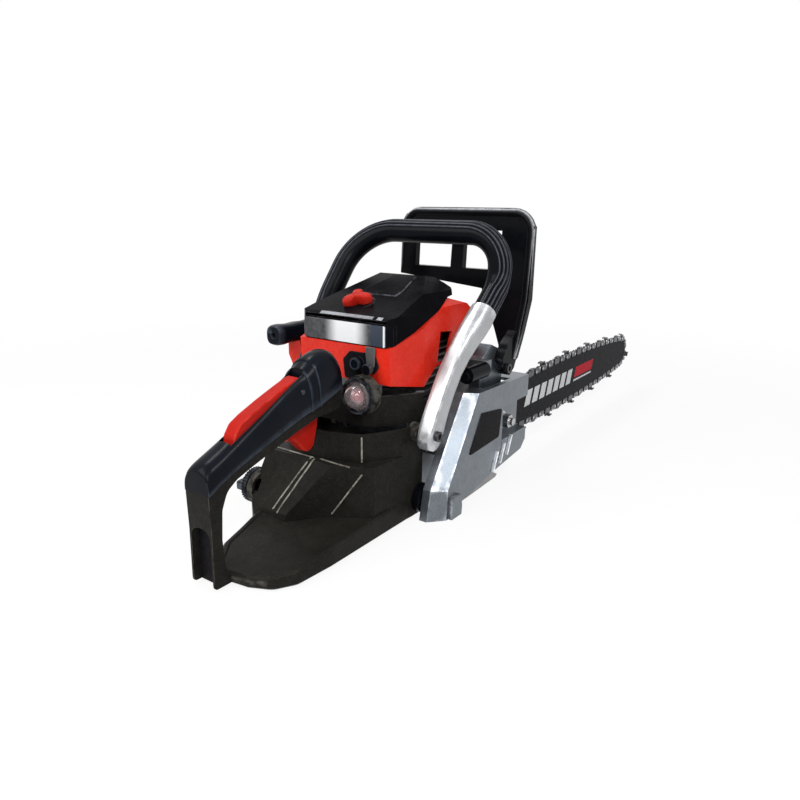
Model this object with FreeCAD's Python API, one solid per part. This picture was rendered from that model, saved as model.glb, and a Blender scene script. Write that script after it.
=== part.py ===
import FreeCAD, Part
import math
import os

os.makedirs("parts", exist_ok=True)
Vec = FreeCAD.Vector

# All lengths are in millimetres. X points along the guide bar, Y to the left, Z up.
# The origin is on the ground, straight below the crankshaft axis.

# Clearances and the one overrun that all cuts share
run_gap = 0.06
seat_gap = 0.1
rest_gap = 0.3
overrun = 2.0

# Crankshaft, piston and cylinder
crank_height = 66.0
stroke = 32.0
big_end_wall = 3.2
small_end_wall = 3.5
piston_radius = 19.5
rod_length = 54.0
rod_width = 9.0
web_radius = 24.0
web_thickness = 8.0
shaft_radius = 7.5
bearing_radius = 17.5
bearing_width = 11.0
seal_radius = 13.0
crown_height = 18.0
skirt_depth = 12.0
wrist_pin_radius = 5.0
crank_pin_radius = 6.0
cylinder_base_z = 100.0
cylinder_top_z = 166.0
barrel_radius = 25.0
fin_half_length = 34.0
fin_half_width = 38.0
port_half_width = 14.0
port_low_z = 118.0
port_high_z = 138.0

# Crankcase
case_right_y = -34.0
case_left_y = 42.0
case_rear_x = -50.0
case_front_x = 88.0
case_low_z = 8.0
case_wall = 4.0
chamber_gap = 1.5

# Flywheel and starter
flywheel_radius = 46.0
flywheel_y = 46.0
flywheel_width = 12.0
taper_radius = 6.0
volute_inner = 50.0
volute_outer = 54.0
starter_radius = 60.0
starter_inner_y = 62.0
starter_outer_y = 100.0
starter_wall = 2.5
rope_radius = 1.75
rope_turn_radius = 25.0
grip_x = -38.0
grip_y = 120.0
grip_z = 157.0

# Clutch and sprocket
drum_radius = 28.0
drum_wall = 2.0
drum_floor_y = -72.0
drum_rim_y = -84.0
journal_radius = 6.0
needle_radius = 8.5
thread_radius = 5.0
case_shoulder_y = -58.0
washer_room = 1.5
tooth_root_gap = 1.0
strap_room = 0.8

# Chain and guide bar
chain_pitch = 9.525
link_pairs = 59
sprocket_links = 6
nose_links = 7
bar_thickness = 4.0
bar_y = -64.0
chain_belly = 31.0
rail_drop = 4.0
tang_drop = 7.2
link_thickness = 1.27
strap_thickness = 1.1
bar_tail_x = 29.0
groove_depth = 6.0
stud_x = 62.0
stud_radius = 4.0

# Clutch cover
cover_face_y = -89.0
cover_foot_y = -93.0
cover_inner_y = -59.0
cover_wall = 2.5
cover_rear_x = -78.0
cover_front_x = 102.0
cover_top_z = 112.0

# Tank, foot plate and rear handle
tank_front_x = -62.0
tank_rear_x = -180.0
tank_top_z = 66.0
tank_half_y = 55.0
tank_wall = 3.0
shoulder_top_z = 120.0
post_rear_x = -274.0
plate_back_step = 17.0
plate_rear_x = post_rear_x + plate_back_step
plate_half_y = 60.0
plate_height = 24.0
post_half_width = 13.0
grip_half_width = 18.0
grip_top_z = 165.0
fuel_cap_x = -157.0
fuel_cap_z = 30.0
cap_radius = 17.0
cap_neck_radius = 13.0
oil_cap_x = 70.0
oil_cap_z = 31.0
oil_cap_radius = 14.5
oil_neck_radius = 10.5
bulb_x = -114.0
bulb_y = -25.0
bulb_z = 122.0
bulb_radius = 11.0

# Front handle and hand guard
handle_radius = 12.5
handle_top_z = 258.0
handle_left_y = 95.0
socket_wall = 2.5
socket_depth = 20.0
foot_socket_depth = 13.0
handle_right_y = -79.0
guard_top_z = 283.0
guard_low_z = 115.0
guard_thickness = 5.0
guard_pivot_z = 124.0

# Top covers
shroud_rear_x = -97.0
shroud_front_x = 38.0
shroud_low_z = 118.0
shroud_top_z = 199.0
shroud_right_y = -58.0
shroud_left_y = 61.0
shroud_wall = 2.5
filter_top_z = 216.0
filter_front_x = 26.0
knob_radius = 14.0
knob_x = -67.0
knob_y = 11.0

# Shared by several pieces
web_face = rod_width / 2 + rest_gap
web_back = web_face + web_thickness
bearing_face = web_back + chamber_gap
bearing_back = bearing_face + bearing_width
chamber_radius = web_radius + chamber_gap
throw = stroke / 2
crank_pin_z = crank_height - throw
wrist_pin_z = crank_pin_z + rod_length
bore_radius = piston_radius + run_gap
sprocket_radius = chain_pitch * 2 * sprocket_links / (2 * math.pi)
nose_radius = chain_pitch * 2 * nose_links / (2 * math.pi)
case_top_z = cylinder_base_z - rest_gap
shaft_end_y = drum_rim_y + rest_gap
stud_z = crank_height


def at(point):
    return Vec(*point)


def box(x0, x1, y0, y1, z0, z1):
    return Part.makeBox(x1 - x0, y1 - y0, z1 - z0, Vec(x0, y0, z0))


def rod(radius, start, end):
    line = at(end) - at(start)
    return Part.makeCylinder(radius, line.Length, at(start), line)


def ring(outer, inner, start, end):
    line = at(end) - at(start)
    over = line.normalize() * overrun
    return rod(outer, start, end).cut(rod(inner, at(start) - over, at(end) + over))


def cone(radius_a, radius_b, start, end):
    line = at(end) - at(start)
    return Part.makeCone(radius_a, radius_b, line.Length, at(start), line)


def on_crank(y):
    return (0, y, crank_height)


def spread(shares, low, high):
    """Turns shares of a rectangle into points between its two corners."""
    width = high[0] - low[0]
    height = high[1] - low[1]
    return [(low[0] + u * width, low[1] + v * height) for u, v in shares]


def shrink(points, wall):
    """Draws an outline in towards its middle by one wall on each side."""
    us = [point[0] for point in points]
    vs = [point[1] for point in points]
    mid_u = (max(us) + min(us)) / 2
    mid_v = (max(vs) + min(vs)) / 2
    share_u = 1 - 2 * wall / (max(us) - min(us))
    share_v = 1 - 2 * wall / (max(vs) - min(vs))
    return [(mid_u + (u - mid_u) * share_u, mid_v + (v - mid_v) * share_v) for u, v in points]


def outline_wire(points, axis, place):
    if axis == "x":
        corners = [Vec(place, a, b) for a, b in points]
    elif axis == "y":
        corners = [Vec(a, place, b) for a, b in points]
    else:
        corners = [Vec(a, b, place) for a, b in points]
    return Part.makePolygon(corners + [corners[0]])


def prism(points, axis, start, end):
    """Extrudes an outline along one axis."""
    along = {"x": Vec(1, 0, 0), "y": Vec(0, 1, 0), "z": Vec(0, 0, 1)}[axis]
    return Part.Face(outline_wire(points, axis, start)).extrude(along * (end - start))


def tapered(points_a, place_a, points_b, place_b, axis):
    """A body with ruled sides between two outlines that have as many corners."""
    wires = [outline_wire(points_a, axis, place_a), outline_wire(points_b, axis, place_b)]
    return Part.makeLoft(wires, True, True)


def join(shapes):
    body = shapes[0]
    for shape in shapes[1:]:
        body = body.fuse(shape)
    return body.removeSplitter()


def group(shapes):
    return Part.makeCompound([solid for shape in shapes for solid in shape.Solids])


def tube_path(points, bend):
    """Straight runs joined by tangent arcs; bend is one radius or one for each corner."""
    path = []
    last = at(points[0])
    for place in range(1, len(points) - 1):
        radius = bend[place - 1] if isinstance(bend, (list, tuple)) else bend
        corner = at(points[place])
        to_last = (at(points[place - 1]) - corner).normalize()
        to_next = (at(points[place + 1]) - corner).normalize()
        half = to_last.getAngle(to_next) / 2
        first = corner + to_last * (radius / math.tan(half))
        second = corner + to_next * (radius / math.tan(half))
        inward = (to_last + to_next).normalize()
        middle = corner + inward * (radius / math.sin(half) - radius)
        if (first - last).Length > run_gap:
            path.append(Part.LineSegment(last, first).toShape())
        path.append(Part.Arc(first, middle, second).toShape())
        last = second
    path.append(Part.LineSegment(last, at(points[-1])).toShape())
    return Part.Wire(path)


def tube(points, bend, radius):
    start = at(points[0])
    heading = (at(points[1]) - start).normalize()
    circle = Part.Wire([Part.makeCircle(radius, start, heading)])
    return tube_path(points, bend).makePipeShell([circle], True, False)


def screw(head_radius, head_depth, shank_radius, head_face, direction, length):
    """A screw with a round socket head whose outer face is at head_face."""
    into = at(direction).normalize()
    top = at(head_face)
    seat = top + into * head_depth
    socket_share = 0.55
    head = rod(head_radius, top, seat)
    shank = rod(shank_radius, seat, seat + into * length)
    socket = rod(head_radius * socket_share, top - into * overrun, top + into * head_depth * socket_share)
    return join([head, shank]).cut(socket)


# Crank drive: what spins with the crankshaft
def crankshaft():
    right = join([
        rod(web_radius, on_crank(-web_face), on_crank(-web_back)),
        rod(shaft_radius, on_crank(-web_back), on_crank(case_shoulder_y)),
        rod(journal_radius, on_crank(case_shoulder_y), on_crank(drum_floor_y)),
        rod(thread_radius, on_crank(drum_floor_y), on_crank(shaft_end_y)),
    ])
    nut_end_y = flywheel_y + flywheel_width + 3 * thread_radius
    left = join([
        rod(web_radius, on_crank(web_face), on_crank(web_back)),
        rod(shaft_radius, on_crank(web_back), on_crank(case_left_y)),
        rod(taper_radius, on_crank(case_left_y), on_crank(flywheel_y + flywheel_width)),
        rod(thread_radius, on_crank(flywheel_y + flywheel_width), on_crank(nut_end_y)),
    ])
    return group([right, left])


def crank_pin():
    length = web_face - seat_gap
    return rod(crank_pin_radius, (0, -length, crank_pin_z), (0, length, crank_pin_z))


def connecting_rod():
    big_radius = crank_pin_radius + big_end_wall
    small_radius = wrist_pin_radius + small_end_wall
    half = rod_width / 2
    shank_half = wrist_pin_radius
    eye_low = rod(big_radius, (0, -half, crank_pin_z), (0, half, crank_pin_z))
    eye_high = rod(small_radius, (0, -half, wrist_pin_z), (0, half, wrist_pin_z))
    shank = box(-shank_half, shank_half, -half, half, crank_pin_z, wrist_pin_z)
    body = join([eye_low, eye_high, shank])
    over = half + overrun
    low_hole = rod(crank_pin_radius + run_gap, (0, -over, crank_pin_z), (0, over, crank_pin_z))
    high_hole = rod(wrist_pin_radius + run_gap, (0, -over, wrist_pin_z), (0, over, wrist_pin_z))
    return body.cut(low_hole).cut(high_hole)


def wrist_pin():
    clip_room = 2.5
    reach = piston_radius - clip_room
    bore = wrist_pin_radius * 0.6
    return ring(wrist_pin_radius, bore, (0, -reach, wrist_pin_z), (0, reach, wrist_pin_z))


ring_height = 1.5
ring_depth = 1.8
ring_drops = [4.0, 8.0]


def piston():
    crown = 4.5
    boss_gap = 1.0
    boss_wall = 3.0
    skin = 1.5
    top = wrist_pin_z + crown_height
    low = wrist_pin_z - skirt_depth
    body = rod(piston_radius, (0, 0, low), (0, 0, top))
    hollow = rod(piston_radius - 3 * ring_depth / 2, (0, 0, low - overrun), (0, 0, top - 2 * crown))
    half = rod_width / 2 + boss_gap
    reach = piston_radius - skin
    bosses = [
        rod(wrist_pin_radius + boss_wall, (0, side * half, wrist_pin_z), (0, side * reach, wrist_pin_z))
        for side in (-1, 1)
    ]
    body = body.cut(hollow)
    round_wall = rod(piston_radius, (0, 0, low), (0, 0, top))
    body = join([body] + [boss.common(round_wall) for boss in bosses])
    over = piston_radius + overrun
    body = body.cut(rod(wrist_pin_radius + seat_gap, (0, -over, wrist_pin_z), (0, over, wrist_pin_z)))
    for drop in ring_drops:
        groove_top = top - drop + seat_gap
        groove_low = top - drop - ring_height - seat_gap
        inner = piston_radius - ring_depth - seat_gap
        body = body.cut(ring(piston_radius + overrun, inner, (0, 0, groove_low), (0, 0, groove_top)))
    return body


def piston_rings():
    top = wrist_pin_z + crown_height
    outer = piston_radius + run_gap / 3
    rings = []
    for drop in ring_drops:
        place = top - drop
        rings.append(ring(outer, piston_radius - ring_depth, (0, 0, place - ring_height), (0, 0, place)))
    return group(rings)


def crank_bearings():
    inner = shaft_radius + run_gap
    race = 2.2
    ball_radius = 2.6
    ball_count = 8
    pieces = []
    for side in (-1, 1):
        start = on_crank(side * bearing_face)
        end = on_crank(side * bearing_back)
        middle = side * (bearing_face + bearing_back) / 2
        pieces.append(ring(bearing_radius, bearing_radius - race, start, end))
        pieces.append(ring(inner + race, inner, start, end))
        pitch = (bearing_radius - race + inner + race) / 2
        for number in range(ball_count):
            turn = 2 * math.pi * number / ball_count
            spot = Vec(pitch * math.cos(turn), middle, crank_height + pitch * math.sin(turn))
            pieces.append(Part.makeSphere(ball_radius, spot))
    return group(pieces)


def flywheel():
    hub_radius = 14.0
    web = 5.0
    rim = 8.0
    fin_count = 16
    back_y = flywheel_y + flywheel_width
    disc = rod(flywheel_radius, on_crank(flywheel_y), on_crank(flywheel_y + web))
    rim_ring = ring(flywheel_radius, flywheel_radius - rim, on_crank(flywheel_y), on_crank(back_y))
    hub = rod(hub_radius, on_crank(flywheel_y - web / 2), on_crank(back_y))
    body = join([disc, rim_ring, hub])
    blade_thickness = 2.5
    blade = box(hub_radius * 0.8, flywheel_radius - rim / 2, flywheel_y + web / 2, back_y - blade_thickness / 2,
                -blade_thickness / 2, blade_thickness / 2)
    for number in range(fin_count):
        fin = blade.copy()
        fin.rotate(Vec(0, 0, 0), Vec(0, 1, 0), 360 * number / fin_count)
        fin.translate(Vec(0, 0, crank_height))
        body = body.fuse(fin)
    body = body.removeSplitter()
    return body.cut(rod(taper_radius + seat_gap, on_crank(case_left_y), on_crank(back_y + overrun)))


def flywheel_nut():
    start = flywheel_y + flywheel_width + seat_gap
    width = 2 * thread_radius * 1.7
    corners = [
        (width / math.sqrt(3) * math.cos(math.radians(60 * n)),
         crank_height + width / math.sqrt(3) * math.sin(math.radians(60 * n)))
        for n in range(6)
    ]
    height = 1.4 * thread_radius
    return prism(corners, "y", start, start + height).cut(
        rod(thread_radius + seat_gap, on_crank(start - overrun), on_crank(start + height + overrun)))


# Clutch, drum and sprocket
shoe_gap = 0.7
hub_gap = 2.0
hub_arm_inset = 5.0
shoe_outer = drum_radius - drum_wall - shoe_gap
shoe_inner = 14.0
shoe_right_y = drum_rim_y + rest_gap
shoe_left_y = drum_floor_y - drum_wall / 2
clutch_spring_radius = 18.0
clutch_spring_half = 1.6


def clutch_hub():
    arm_half = 3.0
    body = rod(shoe_inner - hub_gap, on_crank(shoe_right_y), on_crank(shoe_left_y))
    for number in range(3):
        arm = box(0, shoe_outer - hub_arm_inset, shoe_right_y, shoe_left_y, -arm_half, arm_half)
        arm.rotate(Vec(0, 0, 0), Vec(0, 1, 0), 120 * number)
        arm.translate(Vec(0, 0, crank_height))
        body = body.fuse(arm)
    body = body.removeSplitter()
    groove = ring(clutch_spring_radius + 2 * clutch_spring_half, clutch_spring_radius - 2 * clutch_spring_half,
                  on_crank(shoe_right_y - overrun), on_crank(shoe_right_y + 3 * clutch_spring_half))
    return body.cut(groove).cut(rod(thread_radius + seat_gap, on_crank(drum_rim_y - overrun), on_crank(0)))


def clutch_shoes():
    slot_half = 4.0
    band = ring(shoe_outer, shoe_inner, on_crank(shoe_right_y), on_crank(shoe_left_y))
    for number in range(3):
        slot = box(0, shoe_outer + overrun, shoe_right_y - overrun, shoe_left_y + overrun, -slot_half, slot_half)
        slot.rotate(Vec(0, 0, 0), Vec(0, 1, 0), 120 * number)
        slot.translate(Vec(0, 0, crank_height))
        band = band.cut(slot)
    groove = ring(clutch_spring_radius + 2 * clutch_spring_half, clutch_spring_radius - 2 * clutch_spring_half,
                  on_crank(shoe_right_y - overrun), on_crank(shoe_right_y + 3 * clutch_spring_half))
    return group([band.cut(groove)])


def clutch_drum():
    floor_back = drum_floor_y + drum_wall
    hub_left = case_shoulder_y - washer_room
    rim_radius = sprocket_radius - rail_drop - strap_room
    core_radius = sprocket_radius - tang_drop - tooth_root_gap
    slot_half = link_thickness / 2 + rest_gap
    cup = ring(drum_radius, drum_radius - drum_wall, on_crank(drum_rim_y), on_crank(floor_back))
    floor = rod(drum_radius, on_crank(drum_floor_y), on_crank(floor_back))
    core = rod(core_radius, on_crank(floor_back), on_crank(hub_left))
    outer_rim = rod(rim_radius, on_crank(floor_back), on_crank(bar_y - slot_half))
    inner_rim = rod(rim_radius, on_crank(bar_y + slot_half), on_crank(hub_left))
    body = join([cup, floor, core, outer_rim, inner_rim])
    tooth_half = 1.2
    for number in range(sprocket_links):
        tooth = box(core_radius - overrun, rim_radius - overrun, bar_y - slot_half, bar_y + slot_half,
                    -tooth_half, tooth_half)
        tooth.rotate(Vec(0, 0, 0), Vec(0, 1, 0), 360 * number / sprocket_links)
        tooth.translate(Vec(0, 0, crank_height))
        body = body.fuse(tooth)
    body = body.removeSplitter()
    return body.cut(rod(needle_radius + seat_gap, on_crank(drum_rim_y), on_crank(0)))


def drum_bearing():
    end = on_crank(case_shoulder_y - washer_room)
    return ring(needle_radius, journal_radius + run_gap, on_crank(drum_floor_y), end)


worm_radius = 9.0
worm_right_y = -57.0
worm_left_y = -47.0


def oil_worm():
    return ring(worm_radius, shaft_radius + seat_gap, on_crank(worm_right_y), on_crank(worm_left_y))


def oil_pump():
    half = 17.0
    height = 15.0
    top = crank_height - worm_radius - rest_gap
    plunger_radius = 3.0
    body = box(-half, half, worm_right_y, case_right_y - seat_gap, top - height, top)
    ear = rod(height / 3, (-half, case_right_y - seat_gap - height / 3, top - height / 2),
              (-half, case_right_y - seat_gap, top - height / 2))
    plunger = rod(plunger_radius, (half, (worm_right_y + worm_left_y) / 2, top - height / 2),
                  (half + plunger_radius * 2, (worm_right_y + worm_left_y) / 2, top - height / 2))
    return join([body, ear, plunger])


# Chain path: two circles joined by large arcs of one radius
def big_arc(nose_x):
    """Radius and centre of the arc that touches both circles from outside and has the belly height."""
    rise_a = chain_belly - sprocket_radius
    rise_b = chain_belly - nose_radius
    small = chain_belly
    large = nose_x * nose_x
    for _ in range(200):
        radius = (small + large) / 2
        span_a = math.sqrt(rise_a * (2 * radius - sprocket_radius - chain_belly))
        span_b = math.sqrt(rise_b * (2 * radius - nose_radius - chain_belly))
        if span_a + span_b > nose_x:
            large = radius
        else:
            small = radius
    return radius, span_a


def track_length(nose_x):
    radius, centre_x = big_arc(nose_x)
    drop = radius - chain_belly
    lean_a = math.atan2(centre_x, drop)
    lean_b = math.atan2(nose_x - centre_x, drop)
    side = radius * (lean_a + lean_b)
    tail = sprocket_radius * (math.pi - 2 * lean_a)
    nose = nose_radius * (math.pi - 2 * lean_b)
    return 2 * side + tail + nose


def find_nose():
    total = 2 * link_pairs * chain_pitch
    nose_x = total / 2
    for _ in range(60):
        nose_x = nose_x + (total - track_length(nose_x)) / 2
    return nose_x


nose_x = find_nose()
belly_radius, belly_x = big_arc(nose_x)
belly_drop = belly_radius - chain_belly
lean_tail = math.atan2(belly_x, belly_drop)
lean_nose = math.atan2(nose_x - belly_x, belly_drop)


def track_point(distance):
    """A place on the chain path, measured from its rearmost point over the top."""
    total = 2 * link_pairs * chain_pitch
    distance = distance % total
    lower = distance > total / 2
    if lower:
        distance = total - distance
    tail_run = sprocket_radius * (math.pi / 2 - lean_tail)
    side_run = belly_radius * (lean_tail + lean_nose)
    if distance < tail_run:
        turn = math.pi - distance / sprocket_radius
        centre, radius = (0, 0), sprocket_radius
    elif distance < tail_run + side_run:
        turn = math.pi / 2 + lean_tail - (distance - tail_run) / belly_radius
        centre, radius = (belly_x, -belly_drop), belly_radius
    else:
        turn = math.pi / 2 - lean_nose - (distance - tail_run - side_run) / nose_radius
        centre, radius = (nose_x, 0), nose_radius
    out = (math.cos(turn), math.sin(turn))
    spot = (centre[0] + radius * out[0], centre[1] + radius * out[1])
    if lower:
        spot = (spot[0], -spot[1])
    return spot


def chain_plate(number, outline, y0, y1):
    """A plate whose outline is given along the chain and outwards, centred on one link place."""
    start = track_point((number - 0.5) * chain_pitch)
    end = track_point((number + 0.5) * chain_pitch)
    middle = ((start[0] + end[0]) / 2, (start[1] + end[1]) / 2)
    along = (end[0] - start[0], end[1] - start[1])
    length = math.hypot(along[0], along[1])
    along = (along[0] / length, along[1] / length)
    out = (-along[1], along[0])
    points = []
    for a, b in outline:
        x = middle[0] + a * along[0] + b * out[0]
        z = middle[1] + a * along[1] + b * out[1] + crank_height
        points.append((x, z))
    return prism(points, "y", y0, y1)


strap_end = 2.6
drive_end = 1.8
cutter_rise = 6.6
strap_half = chain_pitch / 2 + strap_end
strap_low = rail_drop - 2 * seat_gap
strap_high = 3.4
plate_gap = 0.08


def strap_outline():
    shares = [(-1, -0.45), (-0.8, -1), (0.8, -1), (1, -0.45), (1, 0.45), (0.8, 1), (0.25, 0.8),
              (-0.25, 0.8), (-0.8, 1), (-1, 0.45)]
    return [(u * strap_half, v * (strap_high if v > 0 else strap_low)) for u, v in shares]


def cutter_outline():
    shares = [(-1, -0.45), (-0.8, -1), (0.8, -1), (1, -0.45), (1, 0.7), (0.85, 0.88), (0.45, 0.85),
              (0.3, 0.4), (0.12, 0.4), (0.0, 1.0), (-0.95, 0.9), (-1, 0.45)]
    return [(u * strap_half, v * (cutter_rise if v > 0 else strap_low)) for u, v in shares]


def drive_outline():
    shares = [(-0.9, 0.9), (-0.95, -0.3), (-0.35, -1), (0.35, -1), (0.95, -0.3), (0.9, 0.9)]
    half = chain_pitch / 2 + drive_end
    return [(u * half, v * (strap_high if v > 0 else tang_drop)) for u, v in shares]


inner_face = link_thickness / 2 + plate_gap
outer_face = inner_face + strap_thickness
cutter_reach = 3.0


def is_cutter(place):
    return place % 2 == 0


def chain_cutters():
    """Each cutter is a side plate with a thin top plate that reaches out over it."""
    back = -strap_half * 0.95
    rear_rise = cutter_rise * 0.9
    near = outer_face + cutter_reach - strap_thickness
    far = outer_face + cutter_reach
    head = [(back, strap_high), (0, strap_high), (0, cutter_rise), (back, rear_rise)]
    hollow = [(-strap_half, strap_high - overrun), (overrun, strap_high - overrun),
              (overrun, cutter_rise - strap_thickness), (-strap_half, rear_rise - strap_thickness)]
    lip = strap_high + strap_thickness
    below = strap_high - overrun
    trim = [(-strap_half, below), (overrun, below), (overrun, lip), (-strap_half, lip)]
    pieces = []
    for place in range(0, link_pairs, 2):
        side = 1 if place % 4 == 0 else -1
        number = 2 * place
        plate = chain_plate(number, cutter_outline(), bar_y + side * inner_face, bar_y + side * outer_face)
        top = chain_plate(number, head, bar_y + side * inner_face, bar_y + side * far)
        top = top.cut(chain_plate(number, hollow, bar_y + side * outer_face, bar_y + side * near))
        top = top.cut(chain_plate(number, trim, bar_y + side * outer_face, bar_y + side * (far + overrun)))
        pieces.append(join([plate, top]))
    return group(pieces)


def chain_tie_straps():
    pieces = []
    for place in range(link_pairs):
        for side in (-1, 1):
            takes_cutter = is_cutter(place) and side == (1 if place % 4 == 0 else -1)
            if not takes_cutter:
                pieces.append(chain_plate(2 * place, strap_outline(), bar_y + side * inner_face,
                                          bar_y + side * outer_face))
    return group(pieces)


def chain_drive_links():
    half = link_thickness / 2
    return group([chain_plate(2 * place + 1, drive_outline(), bar_y - half, bar_y + half)
                  for place in range(link_pairs)])


def bar_face(inset):
    """The bar's side view, drawn in from the chain path by inset and cut off square at the tail."""
    big = belly_radius - inset
    nose = nose_radius - inset - strap_room
    tail_x = bar_tail_x + inset - rail_drop
    tail_half = math.sqrt(big * big - (tail_x - belly_x) ** 2) - belly_drop
    nose_turn = math.pi / 2 - lean_nose
    join_x = nose_x + nose * math.cos(nose_turn)
    join_z = nose * math.sin(nose_turn)
    middle_x = (tail_x + join_x) / 2
    middle_z = math.sqrt(big * big - (middle_x - belly_x) ** 2) - belly_drop

    def spot(x, z):
        return Vec(x, 0, crank_height + z)

    edges = [
        Part.Arc(spot(tail_x, tail_half), spot(middle_x, middle_z), spot(join_x, join_z)).toShape(),
        Part.Arc(spot(join_x, join_z), spot(nose_x + nose, 0), spot(join_x, -join_z)).toShape(),
        Part.Arc(spot(join_x, -join_z), spot(middle_x, -middle_z), spot(tail_x, -tail_half)).toShape(),
        Part.LineSegment(spot(tail_x, -tail_half), spot(tail_x, tail_half)).toShape(),
    ]
    return Part.Face(Part.Wire(edges))


def bar_slab(inset, y0, y1):
    slab = bar_face(inset).extrude(Vec(0, y1 - y0, 0))
    slab.translate(Vec(0, y0, 0))
    return slab


nose_pin_radius = 3.0
tension_back = 26.0
tension_drop = 11.0
tension_x = stud_x - tension_back
tension_z = crank_height - tension_drop
tension_pin_radius = 2.4


def guide_bar():
    half = bar_thickness / 2
    groove_half = link_thickness / 2 + 2 * seat_gap
    slot_half = stud_radius + rest_gap
    slot_reach = 12.0
    body = bar_slab(rail_drop, bar_y - half, bar_y + half)
    groove = bar_slab(rail_drop - overrun, bar_y - groove_half, bar_y + groove_half)
    core = bar_slab(rail_drop + groove_depth, bar_y - half, bar_y + half)
    pocket = rod(nose_radius - rail_drop, (nose_x, bar_y - groove_half, crank_height),
                 (nose_x, bar_y + groove_half, crank_height))
    pin = rod(nose_pin_radius, (nose_x, bar_y - half, crank_height), (nose_x, bar_y + half, crank_height))
    body = body.cut(groove.cut(core)).cut(pocket).fuse(pin)
    slot = box(bar_tail_x - overrun, stud_x + slot_reach, bar_y - half - overrun, bar_y + half + overrun,
               stud_z - slot_half, stud_z + slot_half)
    hole_radius = tension_pin_radius + rest_gap
    hole = rod(hole_radius, (tension_x, bar_y - half - overrun, tension_z),
               (tension_x, bar_y + half + overrun, tension_z))
    mirror = rod(hole_radius, (tension_x, bar_y - half - overrun, 2 * crank_height - tension_z),
                 (tension_x, bar_y + half + overrun, 2 * crank_height - tension_z))
    return body.cut(slot).cut(hole).cut(mirror).removeSplitter()


def nose_sprocket():
    half = link_thickness / 2
    core = nose_radius - tang_drop - tooth_root_gap
    tip = nose_radius - rail_drop - tooth_root_gap
    tooth_half = 1.5
    body = rod(core, (nose_x, bar_y - half, crank_height), (nose_x, bar_y + half, crank_height))
    for number in range(nose_links):
        tooth = box(0, tip, bar_y - half, bar_y + half, -tooth_half, tooth_half)
        tooth.rotate(Vec(0, 0, 0), Vec(0, 1, 0), 360 * (number + 0.5) / nose_links)
        tooth.translate(Vec(nose_x, 0, crank_height))
        body = body.fuse(tooth)
    hole = rod(nose_pin_radius + run_gap, (nose_x, bar_y - half - overrun, crank_height),
               (nose_x, bar_y + half + overrun, crank_height))
    return body.removeSplitter().cut(hole)


# Crankcase halves, cylinder and what is bolted to them
def case_side():
    shares = [(0, 0.12), (0.1, 0), (0.94, 0), (1, 0.1), (1, 0.7), (0.74, 0.8), (0.62, 1), (0.12, 1), (0, 0.8)]
    return spread(shares, (case_rear_x, case_low_z), (case_front_x, case_top_z))


well_gap = 1.2
well_radius = piston_radius + well_gap
skid_right_y = -22.0
skid_middle_y = 9.0
skid_left_y = 30.0
stud_inset = 8.0
stud_end_y = case_right_y - stud_inset
oil_tank_low = (46.0, -28.0, 15.0)
oil_tank_high = (82.0, 36.0, 62.0)
arm_low_x = 19.0
arm_high_x = 66.0
arm_outer_y = -74.0
arm_inner_y = -61.0
arm_top_z = 150.0
shelf_low_z = 100.5
shelf_high_z = 106.0
guard_pivot_x = 57.0
pivot_screw_radius = 3.0
lug_radius = 6.0
lug_circle = starter_radius + lug_radius
lug_turns = [45, 141, 242, 298]
lug_screw_radius = 2.5


def lug_spot(turn, y):
    angle = math.radians(turn)
    return (lug_circle * math.cos(angle), y, crank_height + lug_circle * math.sin(angle))


def lug(turn, inner, start_y, end_y):
    """A screw boss beside a round housing, with the web that carries it."""
    web = box(inner, lug_circle, start_y, end_y, -lug_radius, lug_radius)
    web.rotate(Vec(0, 0, 0), Vec(0, 1, 0), -turn)
    web.translate(Vec(0, 0, crank_height))
    return rod(lug_radius, lug_spot(turn, start_y), lug_spot(turn, end_y)).fuse(web)


def skid(start_y, end_y, top_z):
    shares = [(0, 0.35), (0.05, 0), (0.95, 0), (1, 0.35), (1, 1), (0, 1)]
    low_x = case_rear_x + case_wall
    high_x = case_front_x - case_wall
    return prism(spread(shares, (low_x, 0), (high_x, top_z)), "y", start_y, end_y)


def crank_bores():
    pocket = bearing_radius + seat_gap
    return join([
        rod(chamber_radius, on_crank(-bearing_face), on_crank(bearing_face)),
        rod(pocket, on_crank(-bearing_back), on_crank(bearing_back)),
        rod(seal_radius, on_crank(case_right_y - overrun), on_crank(case_left_y + overrun)),
        rod(well_radius, on_crank(0), (0, 0, case_top_z + overrun)),
    ])


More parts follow.
